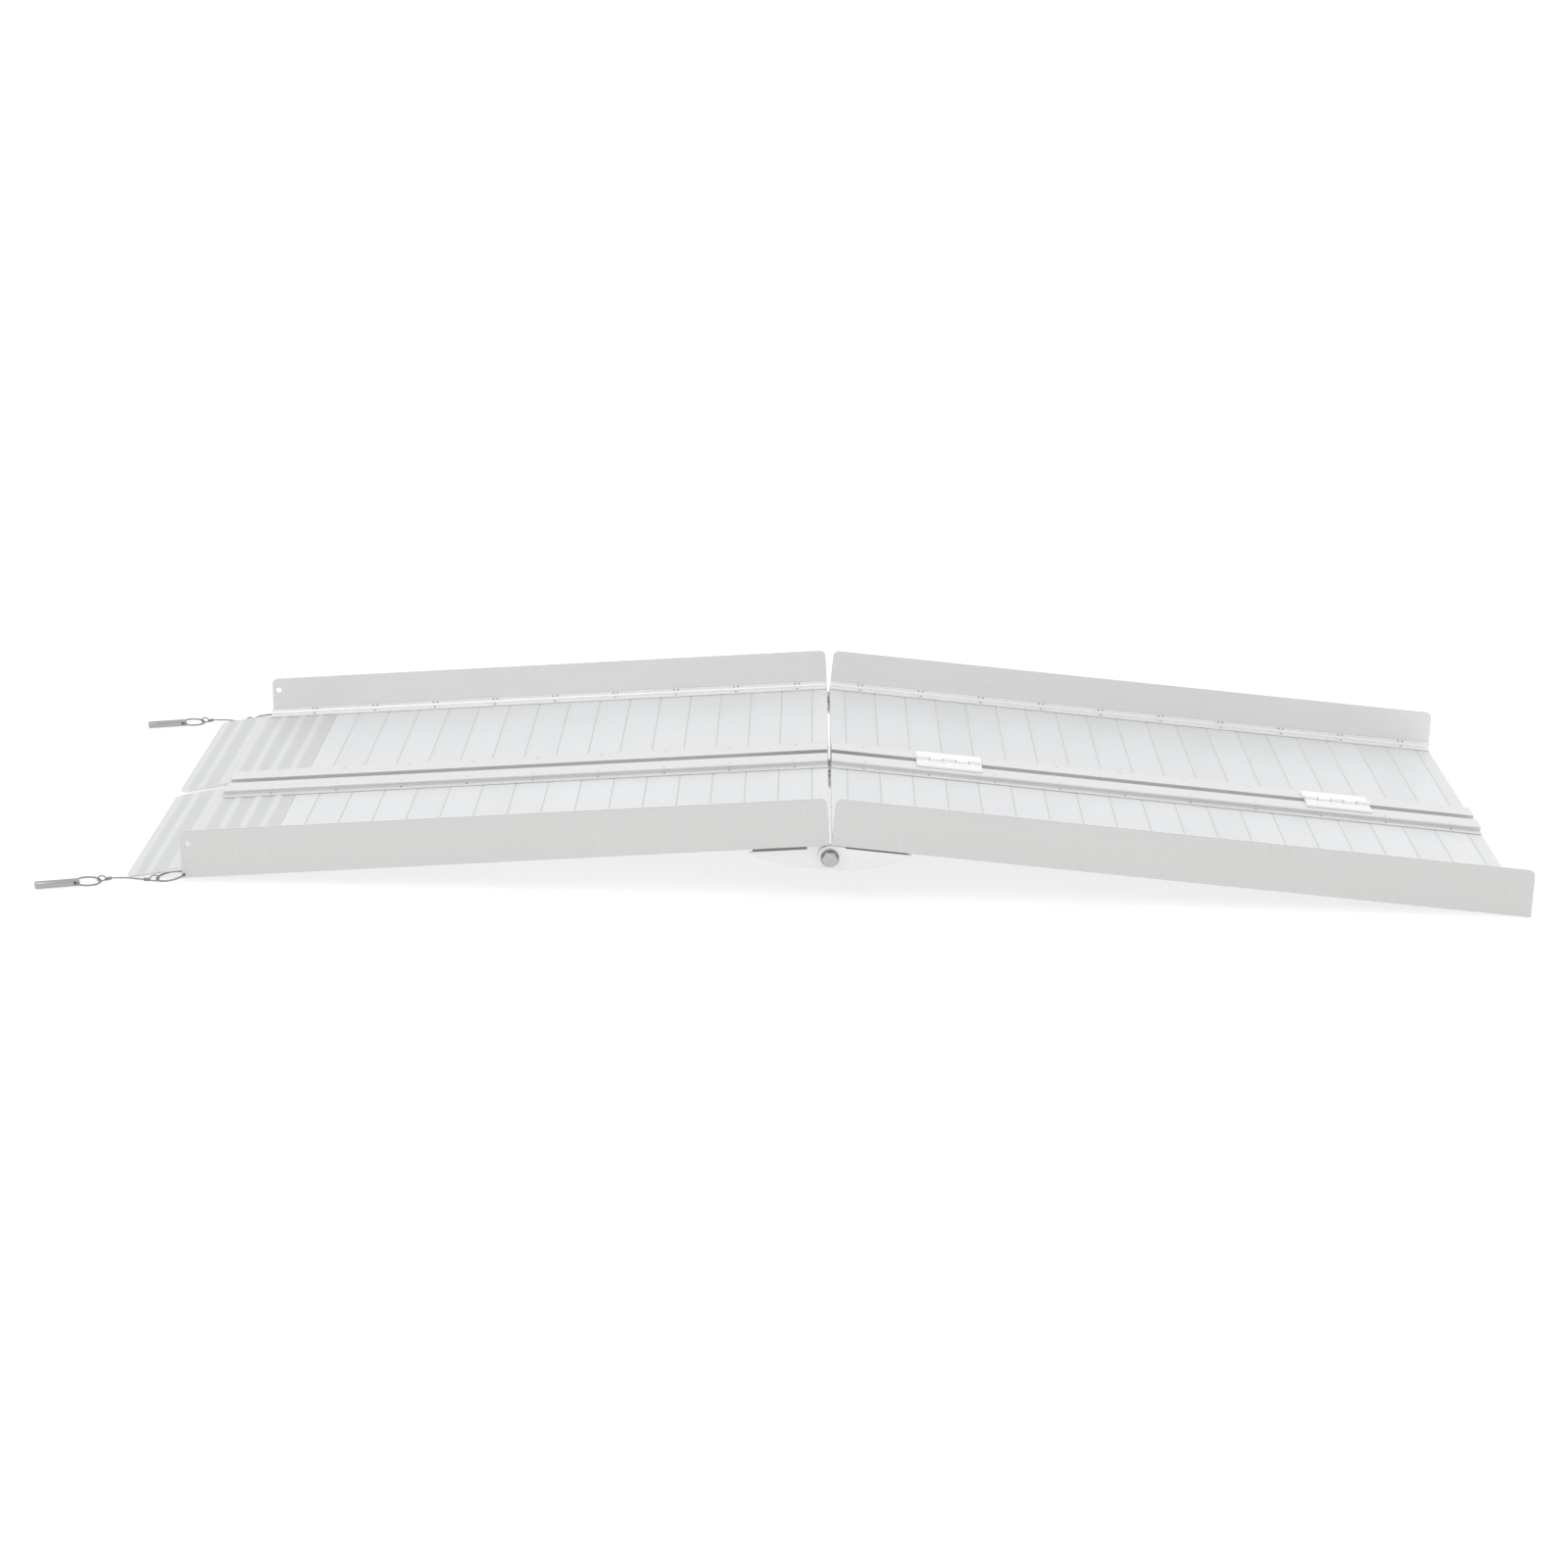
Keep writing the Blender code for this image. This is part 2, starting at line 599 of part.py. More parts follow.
def lip_plate(track, frame):
    name = f"lip_plate_{track}"
    length, slope = lip_slope()
    cos, sin = math.cos(slope), math.sin(slope)
    tip = (LIP_BEND + length * cos, DECK_TOP - length * sin)
    under = math.tan(slope / 2) * LIP_THICK
    bottom = DECK_TOP - DECK_DEPTH
    sheet = DECK_TOP - LIP_THICK
    rib_ends = ((LIP_START, LIP_START + SEAM_RIB),
                (LEFT_RAIL_END - LIP_RIB_INSET, LEFT_RAIL_END - LIP_RIB_INSET + SEAM_RIB))
    outline = [(LIP_START, DECK_TOP), (LIP_BEND, DECK_TOP), tip,
               (tip[0] - LIP_THICK * sin, tip[1] - LIP_THICK * cos), (LIP_BEND - under, sheet)]
    for low, high in reversed(rib_ends):
        outline += [(high, sheet), (high, bottom), (low, bottom), (low, sheet)]
    outline.pop()
    plate = slab(name, track, "outer", "left", outline, DECK_EDGE, TRACK_WIDTH - GAP)

    reach = tip[0] + MM
    shoulder = LEFT_RAIL_END + MM
    corner_d = TRACK_WIDTH - 2 * GAP
    plan = [(LIP_START - MM, DECK_EDGE + GAP / 2), (LIP_START - MM, TRACK_WIDTH - DECK_EDGE),
            (shoulder, TRACK_WIDTH - DECK_EDGE), (shoulder, corner_d)]
    plan += arc((reach - MM - LIP_CORNER, corner_d - LIP_CORNER), LIP_CORNER, 90, 0, 5)
    plan += arc((reach - MM - LIP_CORNER, DECK_EDGE + GAP / 2 + LIP_CORNER), LIP_CORNER, 0, -90, 5)
    placed = [(-u, across(track, "outer", depth)) for u, depth in plan]
    cutter = prism(name + "_plan", placed, "XY", 0, 0.05)
    boolean(plate, cutter, "INTERSECT")

    ridges = []
    for k, (u, width) in enumerate(LIP_RIDGES):
        ridges.append(ridge(f"{name}_ridge_{k}", track, (u, DECK_TOP), width, 0,
                            (STRIP_REACH + MM, HEM_WIDTH + HEM_FOOT + MM)))
    beyond = (TIP_RIDGE[0] * cos, -TIP_RIDGE[0] * sin)
    ridges.append(ridge(name + "_ridge_bend", track, (LIP_BEND, DECK_TOP), BEND_RIDGE, slope / 2,
                        (DECK_EDGE + 4 * MM, 4 * MM)))
    ridges.append(ridge(name + "_ridge_tip", track, (LIP_BEND + beyond[0], DECK_TOP + beyond[1]),
                        TIP_RIDGE[1], slope, (DECK_EDGE + 4 * MM, 4 * MM)))
    for item in ridges:
        boolean(plate, item, "UNION")
    return finish(plate, frame, "lip", [cutter, *ridges])


# ---------------------------------------------------------------- security pins and lanyards

def ring(name, centre, radius, turn, steps=28):
    """A round wire ring, lying nearly flat."""
    profile = [(radius + x, z) for x, z in arc((0, 0), RING_WIRE, 180, -180, 6)[:-1]]
    piece = turned(name, profile, steps, closed=True)
    piece.matrix_world = Matrix.Translation(centre) @ turn
    return piece


def hang(piece, frame, look, guides=()):
    """Parent to a section without moving: the piece is placed in the ramp's own frame."""
    finish(piece, frame, look, guides)
    bpy.context.view_layer.update()
    for item in (piece, *guides):
        item.matrix_parent_inverse = frame.matrix_world.inverted()
    return piece


def crimped_eye(name, place, heading, frame):
    """An upright loop that a ring passes through, on a sleeve. Returns where the wire leaves it."""
    loop = turned(name, [(EYE_MAJOR + x, z) for x, z in arc((0, 0), EYE_MINOR, 180, -180, 6)[:-1]],
                  14, closed=True)
    sleeve = turned(name + "_sleeve",
                    [(0, 0), (SLEEVE_RADIUS, 0), (SLEEVE_RADIUS, -SLEEVE_LENGTH), (0, -SLEEVE_LENGTH)], 10)
    stand = Matrix.Translation(place) @ Matrix.Rotation(heading, 4, "Z")
    sleeve_start = EYE_SHIFT + EYE_MAJOR * EYE_STRETCH - SLEEVE_OVERLAP
    start = Matrix.Translation((sleeve_start, 0, SLEEVE_RADIUS + GAP / 2 - place[2]))
    stretch = Matrix.Translation((EYE_SHIFT, 0, 0)) @ Matrix.Scale(EYE_STRETCH, 4, (1, 0, 0))
    loop.matrix_world = stand @ stretch @ Matrix.Rotation(math.pi / 2, 4, "X")
    sleeve.matrix_world = stand @ start @ Matrix.Rotation(-math.pi / 2, 4, "Y")
    boolean(loop, sleeve, "UNION")
    hang(loop, frame, "crimp", [sleeve])
    return stand @ start @ Vector((SLEEVE_LENGTH + GAP, 0, 0))


def smooth_path(route, count):
    """Evenly spaced points of a Catmull-Rom curve through the route."""
    ends = [2 * route[0] - route[1], *route, 2 * route[-1] - route[-2]]
    dense = []
    for k in range(len(route) - 1):
        a, b, c, d = ends[k:k + 4]
        for i in range(20):
            t = i / 20
            dense.append(0.5 * (2 * b + (c - a) * t + (2 * a - 5 * b + 4 * c - d) * t ** 2
                                + (3 * b - a - 3 * c + d) * t ** 3))
    dense.append(route[-1])
    lengths = [0.0]
    for a, b in zip(dense, dense[1:]):
        lengths.append(lengths[-1] + (b - a).length)
    points = []
    for i in range(count):
        target = lengths[-1] * i / (count - 1)
        k = max(j for j in range(len(dense) - 1) if lengths[j] <= target + 1e-9)
        points.append(dense[k].lerp(dense[k + 1], (target - lengths[k]) / (lengths[k + 1] - lengths[k])))
    return points


def wire(name, points, frame):
    curve = bpy.data.curves.new(name, "CURVE")
    curve.dimensions = "3D"
    curve.bevel_depth = WIRE_RADIUS
    curve.bevel_resolution = 2
    curve.use_fill_caps = True
    spline = curve.splines.new("POLY")
    spline.points.add(len(points) - 1)
    for point, place in zip(spline.points, points):
        point.co = (*place, 1)
    piece = bpy.data.objects.new(name, curve)
    RAMP.objects.link(piece)
    return hang(piece, frame, "wire")


def security_pin(name, bore, heading, frame):
    """A plain round pin lying on the floor, cross-bored near its end for the pin ring."""
    inset = PIN_BORE_INSET
    chamfer = 0.8 * MM
    profile = [(0, inset), (PIN_RADIUS - chamfer, inset), (PIN_RADIUS, inset - chamfer),
               (PIN_RADIUS, inset - PIN_LENGTH + 2 * chamfer),
               (PIN_RADIUS - 2 * chamfer, inset - PIN_LENGTH), (0, inset - PIN_LENGTH)]
    pin = turned(name, profile)
    cutter = prism(name + "_bore", circle((0, 0), PIN_BORE, 10), "XZ", -2 * PIN_RADIUS, 2 * PIN_RADIUS)
    stand = Matrix.Translation(bore) @ Matrix.Rotation(heading, 4, "Z")
    pin.matrix_world = stand @ Matrix.Rotation(-math.pi / 2, 4, "Y")
    cutter.matrix_world = stand
    boolean(pin, cutter, "DIFFERENCE")
    hang(pin, frame, "pin", [cutter])


def lanyard(track, frame):
    """Anchor ring in the rail's corner, wire between two crimped eyes, pin ring and pin."""
    wall_y = across(track, "outer", RAIL_WALL / 2)
    hole_u = LEFT_RAIL_END - RING_HOLE_INSET
    hole_w = RAIL_BOTTOM + RING_HOLE_RISE
    hole = Vector((-hole_u * math.cos(TENT_ANGLE) - hole_w * math.sin(TENT_ANGLE), wall_y,
                   FOLD_HEIGHT - hole_u * math.sin(TENT_ANGLE) + hole_w * math.cos(TENT_ANGLE)))
    eye_height = EYE_MAJOR + EYE_MINOR
    low_side = eye_height - RING_SAG
    tilt = math.asin((hole.z - low_side) / (2 * ANCHOR_RING))
    reach = Vector((-ANCHOR_RING * math.cos(tilt), 0, -ANCHOR_RING * math.sin(tilt)))
    anchor = ring(f"anchor_ring_{track}", hole + reach, ANCHOR_RING, Matrix.Rotation(-tilt, 4, "Y"))
    hang(anchor, frame, "ring")

    low_point = hole + 2 * reach
    first_eye = Vector((low_point.x - GAP, wall_y, eye_height))
    wire_start = crimped_eye(f"crimped_eye_{track}_anchor", first_eye, math.pi, frame)

    centre = Vector((hole.x - PIN_RING_PLACE[0], wall_y - PIN_RING_PLACE[1], (low_side + PIN_RADIUS) / 2))
    drop = math.asin((PIN_RADIUS - low_side) / (2 * PIN_RING))
    turn = Matrix.Rotation(PIN_HEADING, 4, "Z") @ Matrix.Rotation(-drop, 4, "Y")
    pin_ring = ring(f"pin_ring_{track}", centre, PIN_RING, turn)
    hang(pin_ring, frame, "ring")
    outwards = Vector((math.cos(EYE_HEADING), math.sin(EYE_HEADING), 0))
    second_eye = Vector((centre.x, centre.y, eye_height)) + outwards * (PIN_RING + GAP)
    wire_end = crimped_eye(f"crimped_eye_{track}_pin", second_eye, EYE_HEADING, frame)

    bore = Vector((centre.x, centre.y, PIN_RADIUS + 0.05 * MM))
    bore += Vector((math.cos(PIN_HEADING), math.sin(PIN_HEADING), 0)) * (PIN_RING - 0.4 * MM)
    security_pin(f"security_pin_{track}", bore, PIN_HEADING, frame)

    route = [wire_start]
    for back, side, height in WIRE_ROUTE:
        route.append(Vector((hole.x - back, wall_y + side, height)))
    route.append(wire_end)
    wire(f"lanyard_wire_{track}", smooth_path(route, 13), frame)


# ---------------------------------------------------------------- the whole ramp

def build():
    frames = section_frames()
    for (track, side), frame in frames.items():
        side_rail(track, side, frame)
        rail_strip(track, side, frame)
        deck(track, side, frame)
        inner_channel(track, side, frame)
    for track in TRACKS:
        for edge in ("outer", "inner"):
            hinge_plates(track, edge, frames)
            bolt_set(track, edge, frames[track, "right"])
        lip_plate(track, frames[track, "left"])
        lanyard(track, frames[track, "left"])
    leaf_hinges(frames)


build()
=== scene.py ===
"""Looks of the folding loading ramp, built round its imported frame.

Every extrusion and plate is the CAD node with its corners rounded. Fasteners, rivets, rings, wires and
pins are finer pieces of their own, and each surface has a procedural metal material.

A section's own directions: u runs from the fold line outwards, w stands square to the deck, and y is the
ramp's Y. The tracks are near (-Y) and far (+Y), the sides left (-X, with the lips) and right.
"""
import json
import math
import random

import bmesh
import bpy
from mathutils import Matrix, Vector


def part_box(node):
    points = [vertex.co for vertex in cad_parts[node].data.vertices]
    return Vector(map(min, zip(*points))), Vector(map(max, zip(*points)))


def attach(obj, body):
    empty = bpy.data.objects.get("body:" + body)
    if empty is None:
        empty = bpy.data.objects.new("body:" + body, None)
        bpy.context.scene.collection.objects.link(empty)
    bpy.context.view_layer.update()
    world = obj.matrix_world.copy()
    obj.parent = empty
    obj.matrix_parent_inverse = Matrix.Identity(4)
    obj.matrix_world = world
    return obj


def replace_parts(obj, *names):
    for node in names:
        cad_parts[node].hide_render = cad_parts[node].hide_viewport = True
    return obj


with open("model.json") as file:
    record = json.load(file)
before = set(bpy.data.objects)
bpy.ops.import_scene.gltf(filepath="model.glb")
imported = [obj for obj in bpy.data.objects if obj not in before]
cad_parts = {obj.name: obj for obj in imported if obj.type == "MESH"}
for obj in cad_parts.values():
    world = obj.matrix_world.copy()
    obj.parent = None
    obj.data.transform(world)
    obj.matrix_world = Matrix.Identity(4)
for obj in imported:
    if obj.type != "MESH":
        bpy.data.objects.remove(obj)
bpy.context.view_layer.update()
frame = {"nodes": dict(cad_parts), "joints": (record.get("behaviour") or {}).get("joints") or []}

MM = 0.001
SIDES = {"left": -1, "right": 1}
TRACKS = {"near": -1, "far": 1}
EDGES = ("outer", "inner")

# from the frame
JOINTS = {joint["name"]: joint for joint in frame["joints"]}
FOLD_Z = JOINTS["near_fold"]["pos_m"][2]
SEAM_AXIS = JOINTS["seam_fold"]["axis"]
TENT = math.atan2(-SEAM_AXIS[2], SEAM_AXIS[0])
HALF_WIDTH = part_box("side_rail_far_right")[1].y
TRACK_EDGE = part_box("inner_channel_far_right")[0].y

# section heights above the fold axis, as in the CAD
DECK_TOP = 25.5 * MM
LEDGE_TOP = 27.3 * MM                   # the strips' and hems' ledges, which lie on the deck
HEM_TOP = 33.5 * MM
LEAF_TOP = 36.3 * MM
KNUCKLE_AXIS = 37.4 * MM
TAB_FOOT = 9 * MM                       # above this a hinge plate is set back
GROOVE_DEPTHS = (1.1 * MM, 1.5 * MM)    # a groove's bottom lies between these below the deck's top

# lengths along a section, from the fold, as in the CAD
PITCH = 45.75 * MM
PLANKS = 20
SEAM_SHIFT = 0.013                      # in pitches: how far the first seam is short of half a pitch
LEFT_END = 843.2 * MM
LEAVES = {1: (119.5 * MM, 92 * MM), 2: (668.5 * MM, 92 * MM)}   # start and length
# Painted highlight bands on the lip, in millimetres: on each ridge, at the bend and at the tip.
LIP_HIGHLIGHTS = (766, 794, 822, 849, 858, 888, 912)                # millimetres, with the bend and the tip

# camera: place, then yaw, dip and roll in degrees
CAMERA_PLACE = (-0.0526, -4.2309, 1.3826)
CAMERA_TURNS = (0.136, 17.608, 1.457)
CAMERA_LENS = 72.42

# fold bolts, as in the CAD: depths run inwards from a track's edge
BOLT_RADIUS = 6 * MM
BOLT_CORNER = 18.5 * MM / 2 / math.cos(math.pi / 6)
HEADS = {"outer": 7.5 * MM, "inner": 4 * MM}
WASHER_THICK = 1.8 * MM
WASHER_RADIUS = 12 * MM
NUT_START = 9.9 * MM
NUT_HEIGHT = 8 * MM
THREAD_PITCH = 1.75 * MM
THREAD_DEPTH = 0.8 * MM

# rivets: depths run inwards from a track's outer edge, hem depths outwards from its inner one
PAIR_DEPTH = 4.8 * MM
PAIR_HEIGHT = 32.4 * MM
PAIR_OFFSET = 3.25                      # millimetres along the section, to either side
STRIP_RIVET_DEPTH = 15 * MM
HEM_RIVET_DEPTH = 27.6 * MM
FOOT_RIVET_DEPTH = 40 * MM
END_MARGIN = 20 * MM                    # no rivets this near a section's end
LEAF_RIVETS = ((0.14, 12.6), (0.5, 17.5), (0.86, 12.6))         # share of the length, millimetres in Y

# lanyards, as in the CAD, in millimetres and degrees, with Y from the middle of the rail's wall
WALL_MIDDLE = {"near": -363.5 * MM, "far": 363.5 * MM}
RING_WIRE = 1.2 * MM
ANCHOR_RING = ((-856.717, 0, 7.500), 18.0, (0, -9.917, 0))
PIN_RING = ((-959.986, -20.0, 4.7), 16.5, (0, -1.042, 199))
ANCHOR_EYE = ((-874.749, 0, 0), 180)
PIN_EYE = ((-947.307, -8.978, 0), 41)
PIN_BORE = ((-975.209, -25.242, 5.05), 199)
WIRE_ROUTE = ((-891.809, 0, 2.35), (-901.986, 4.4, 1.3), (-911.986, 7.2, 1.2), (-921.986, 6.8, 1.4),
              (-934.432, 2.214, 2.35))
WIRE_DIAMETER = 2 * MM
EYE_ROUTE = ((9.6, 0.2, 1.8), (7.0, 0.35, 1.25), (3.4, 0.4, 1.0), (0.0, 0.3, 1.25), (-2.3, 0.1, 2.7),
             (-3.0, 0, 4.7), (-2.3, -0.1, 6.7), (0.0, -0.3, 8.0), (3.4, -0.4, 8.25), (6.8, -0.35, 6.6),
             (8.6, -0.2, 4.4), (9.8, 0, 3.2))
SLEEVE_PLACE = (8.76 * MM, 0, 2.35 * MM)

# turned profiles: radius and height in millimetres
SLEEVE = ((0, 0), (1.6, 0), (2.0, 0.15), (2.2, 0.5), (2.2, 1.5), (2.0, 1.8), (1.9, 2.3), (2.0, 2.8),
          (2.2, 3.1), (2.2, 4.6), (2.0, 4.9), (1.9, 5.4), (2.0, 5.9), (2.2, 6.2), (2.2, 7.5),
          (2.0, 7.85), (1.6, 8.0), (0, 8.0))
PIN_SHAFT = ((0, 5.5), (3.7, 5.5), (4.3, 5.35), (4.8, 4.9), (5.0, 4.3), (5.0, -49.4), (4.9, -49.9),
             (3.7, -51.3), (3.3, -51.5), (0, -51.5))
CROSS_BORE = ((0, 8), (3.4, 8), (3.4, 5.4), (2.2, 4.2), (2.2, -4.2), (3.4, -5.4), (3.4, -8), (0, -8))

# mesh clean-up
WELD = 0.000004
FLAT_ANGLE = math.radians(0.4)
SHARP_ANGLE = math.radians(38)
SIDEWAYS = 0.9                          # least share of Y in the normal of a face that looks sideways


# ---------------------------------------------------------------- places in a section

def place(side, u, y, w):
    """Point in the row frame of (u, y, w) in a section."""
    sign = SIDES[side]
    across = u * math.cos(TENT) + w * math.sin(TENT)
    return Vector((sign * across, y, FOLD_Z - u * math.sin(TENT) + w * math.cos(TENT)))


def section_axes(side):
    """Rotation whose columns are u, w cross u, and w."""
    sign = SIDES[side]
    u = Vector((sign * math.cos(TENT), 0, -math.sin(TENT)))
    w = Vector((sign * math.sin(TENT), 0, math.cos(TENT)))
    return Matrix((u, w.cross(u), w)).transposed().to_4x4()


def upwards(side):
    """Direction square to a section's deck."""
    return place(side, 0, 0, 1) - place(side, 0, 0, 0)


# ---------------------------------------------------------------- camera and light

def make_camera():
    """Seen from the near side, a little left of the middle and above the ramp."""
    data = bpy.data.cameras.new("camera")
    data.sensor_width = 36
    data.lens = CAMERA_LENS
    data.clip_end = 200
    camera = bpy.data.objects.new("camera", data)
    bpy.context.scene.collection.objects.link(camera)
    yaw, dip, roll = CAMERA_TURNS
    turn = Matrix.Rotation(math.radians(yaw), 4, "Z")
    turn @= Matrix.Rotation(math.radians(90 - dip), 4, "X")
    turn @= Matrix.Rotation(math.radians(roll), 4, "Z")
    camera.matrix_world = Matrix.Translation(CAMERA_PLACE) @ turn
    bpy.context.scene.camera = camera


def soft_box(name, location, target, size, power):
    data = bpy.data.lights.new(name, "AREA")
    data.shape = "RECTANGLE"
    data.size, data.size_y = size
    data.energy = power
    lamp = bpy.data.objects.new(name, data)
    bpy.context.scene.collection.objects.link(lamp)
    direction = Vector(target) - Vector(location)
    lamp.matrix_world = Matrix.Translation(location) @ direction.to_track_quat("-Z", "Y").to_matrix().to_4x4()


def make_studio():
    world = bpy.data.worlds.new("studio")
    world.use_nodes = True
    sky = world.node_tree.nodes["Background"]
    sky.inputs["Color"].default_value = (1.0, 1.0, 1.0, 1)
    sky.inputs["Strength"].default_value = 0.95
    bpy.context.scene.world = world
    soft_box("key", (-1.6, -1.8, 3.4), (0, 0, 0), (3.0, 2.2), 26)
    soft_box("fill", (2.2, 1.6, 3.0), (0, 0, 0), (2.6, 2.6), 18)
    view = bpy.context.scene.view_settings
    view.view_transform = "Standard"
    view.look = "None"
    view.exposure = 0.0


make_camera()
make_studio()


# ---------------------------------------------------------------- materials

class Paint:
    """One node material. Its calls add nodes and return their output sockets."""

    def __init__(self, name):
        self.material = bpy.data.materials.new(name)
        self.material.use_nodes = True
        self.nodes = self.material.node_tree.nodes
        self.links = self.material.node_tree.links
        self.shader = self.nodes["Principled BSDF"]

    def set(self, node, inputs):
        for name, value in inputs.items():
            socket = node.inputs[name]
            if isinstance(value, bpy.types.NodeSocket):
                self.links.new(value, socket)
            elif isinstance(value, tuple) and len(value) == 3 and socket.type == "RGBA":
                socket.default_value = (*value, 1)
            else:
                socket.default_value = value

    def add(self, kind, inputs=None, output=0, **settings):
        node = self.nodes.new(kind)
        for name, value in settings.items():
            setattr(node, name, value)
        self.set(node, inputs or {})
        return node.outputs[output]

    def math(self, operation, *values):
        return self.add("ShaderNodeMath", dict(enumerate(values)), operation=operation)

    def spread(self, value, low, high, out_low, out_high):
        return self.add("ShaderNodeMapRange", {"Value": value, "From Min": low, "From Max": high,
                                               "To Min": out_low, "To Max": out_high})

    def noise(self, vector, stretch, detail=3.0, rough=0.55):
        """Noise stretched by three scales, in features per metre."""
        scaled = self.add("ShaderNodeMapping", {"Vector": vector, "Scale": stretch})
        return self.add("ShaderNodeTexNoise", {"Vector": scaled, "Scale": 1.0, "Detail": detail,
                                               "Roughness": rough})

    def mix(self, factor, one, two):
        return self.add("ShaderNodeMix", {0: factor, 6: one, 7: two}, output=2, data_type="RGBA")

    def local(self, tilt):
        """Object coordinates from the fold axis, with X along the section and Z square to its deck."""
        here = self.add("ShaderNodeTexCoord", output=3)
        back = (FOLD_Z * math.sin(tilt), 0, -FOLD_Z * math.cos(tilt))
        return self.add("ShaderNodeMapping", {"Vector": here, "Location": back, "Rotation": (0, -tilt, 0)})

    def bump(self, height, distance, strength=1.0):
        return self.add("ShaderNodeBump", {"Height": height, "Distance": distance, "Strength": strength})


def shade(grey, warmth=0.0):
    """Linear colour from a display grey between 0 and 1, with red up and blue down by the warmth."""
    linear = ((grey + 0.055) / 1.055) ** 2.4
    return (linear * (1 + warmth), linear, linear * (1 - warmth))


def scaled(colour, factor):
    return tuple(min(1.0, value * factor) for value in colour)


def metal(name, colour, roughness, tilt=0.0, grain=(3, 90, 90), streak=0.05, metallic=1.0, scratches=0.5,
          inner=None):
    """Worked metal: grain lines, cloudy handling marks, fine scratches and a matching bump.

    The inner colour, when given, is painted light: a lighter tone on the faces within the outer edges of the
    ramp, standing in for light that those faces lack.
    """
    paint = Paint(name)
    where = paint.local(tilt)
    lines = paint.noise(where, grain, detail=4.0, rough=0.7)
    fine = paint.noise(where, tuple(6 * value for value in grain), detail=2.0)
    clouds = paint.noise(where, (9, 9, 9), detail=4.0)
    marks = paint.noise(where, tuple(0.7 * value + 30 for value in reversed(grain)), detail=2.0, rough=0.4)
    scratch = paint.spread(marks, 0.66, 0.72, 0.0, scratches)
    tone = paint.math("ADD", paint.math("MULTIPLY", lines, 0.6), paint.math("MULTIPLY", clouds, 0.4))
    tone = paint.spread(tone, 0.3, 0.7, 0.0, 1.0)
    base = paint.mix(tone, scaled(colour, 1 - streak), scaled(colour, 1 + streak))
    # Painted light: the faces within the outer edges take the lighter inner colour.
    if inner:
        across = paint.math("ABSOLUTE", paint.add("ShaderNodeSeparateXYZ", {"Vector": where}, output=1))
        inside = paint.spread(across, HALF_WIDTH - 0.8 * MM, HALF_WIDTH - 1.6 * MM, 0.0, 1.0)
        painted_light_inner = paint.mix(tone, scaled(inner, 1 - streak), scaled(inner, 1 + streak))
        base = paint.mix(inside, base, painted_light_inner)
    wear_and_highlight = paint.mix(paint.math("MULTIPLY", scratch, 0.35), base, scaled(colour, 1.12))
    rough = paint.spread(paint.math("ADD", fine, clouds), 0.6, 1.4, roughness * 0.82, roughness * 1.2)
    height = paint.math("ADD", fine, paint.math("MULTIPLY", lines, 0.5))
    normal = paint.bump(height, 0.00006, 0.35)
    paint.set(paint.shader, {"Base Color": wear_and_highlight, "Roughness": rough, "Metallic": metallic, "Normal": normal})
    return paint.material


def plank_metal(name, tilt, tone):
    """Deck planks: each its own tint, brushed across the ramp, with darker seams between them."""
    paint = Paint(name)
    where = paint.local(tilt)
    along = paint.add("ShaderNodeSeparateXYZ", {"Vector": where})
    shift = SEAM_SHIFT if tilt > 0 else -SEAM_SHIFT
    steps = paint.math("ADD", paint.math("DIVIDE", along, PITCH), shift)
    number = paint.math("ROUND", steps)
    tint = paint.add("ShaderNodeTexWhiteNoise", {"W": number}, noise_dimensions="1D")
    offset = paint.math("ABSOLUTE", paint.math("SUBTRACT", steps, number))
    seam = paint.spread(offset, 0.44, 0.49, 0.0, 1.0)
    edge = paint.spread(offset, 0.30, 0.46, 0.0, 1.0)
    lines = paint.noise(where, (420, 5, 5), detail=3.0, rough=0.7)
    fine = paint.noise(where, (1600, 14, 30), detail=2.0)
    clouds = paint.noise(where, (7, 5, 5), detail=4.0)
    scuffs = paint.spread(paint.noise(where, (14, 160, 10), detail=2.0), 0.68, 0.74, 0.0, 0.5)
    level = paint.math("ADD", paint.math("MULTIPLY", lines, 0.35), paint.math("MULTIPLY", clouds, 0.3))
    level = paint.math("ADD", level, paint.math("MULTIPLY", tint, 0.2))
    level = paint.math("SUBTRACT", level, paint.math("MULTIPLY", edge, 0.05))
    base = paint.mix(paint.spread(level, 0.2, 0.65, 0.0, 1.0), shade(tone - 0.013, -0.012),
                     shade(tone + 0.013, -0.012))
    base = paint.mix(paint.math("MULTIPLY", scuffs, 0.3), base, shade(0.94, -0.005))
    base = paint.mix(paint.math("MULTIPLY", seam, 0.05), base, shade(0.70))
    rough = paint.spread(paint.math("ADD", fine, clouds), 0.6, 1.4, 0.34, 0.50)
    normal = paint.bump(paint.math("ADD", fine, lines), 0.00008, 0.4)
    paint.set(paint.shader, {"Base Color": base, "Roughness": rough, "Metallic": 0.5, "Normal": normal})
    return paint.material


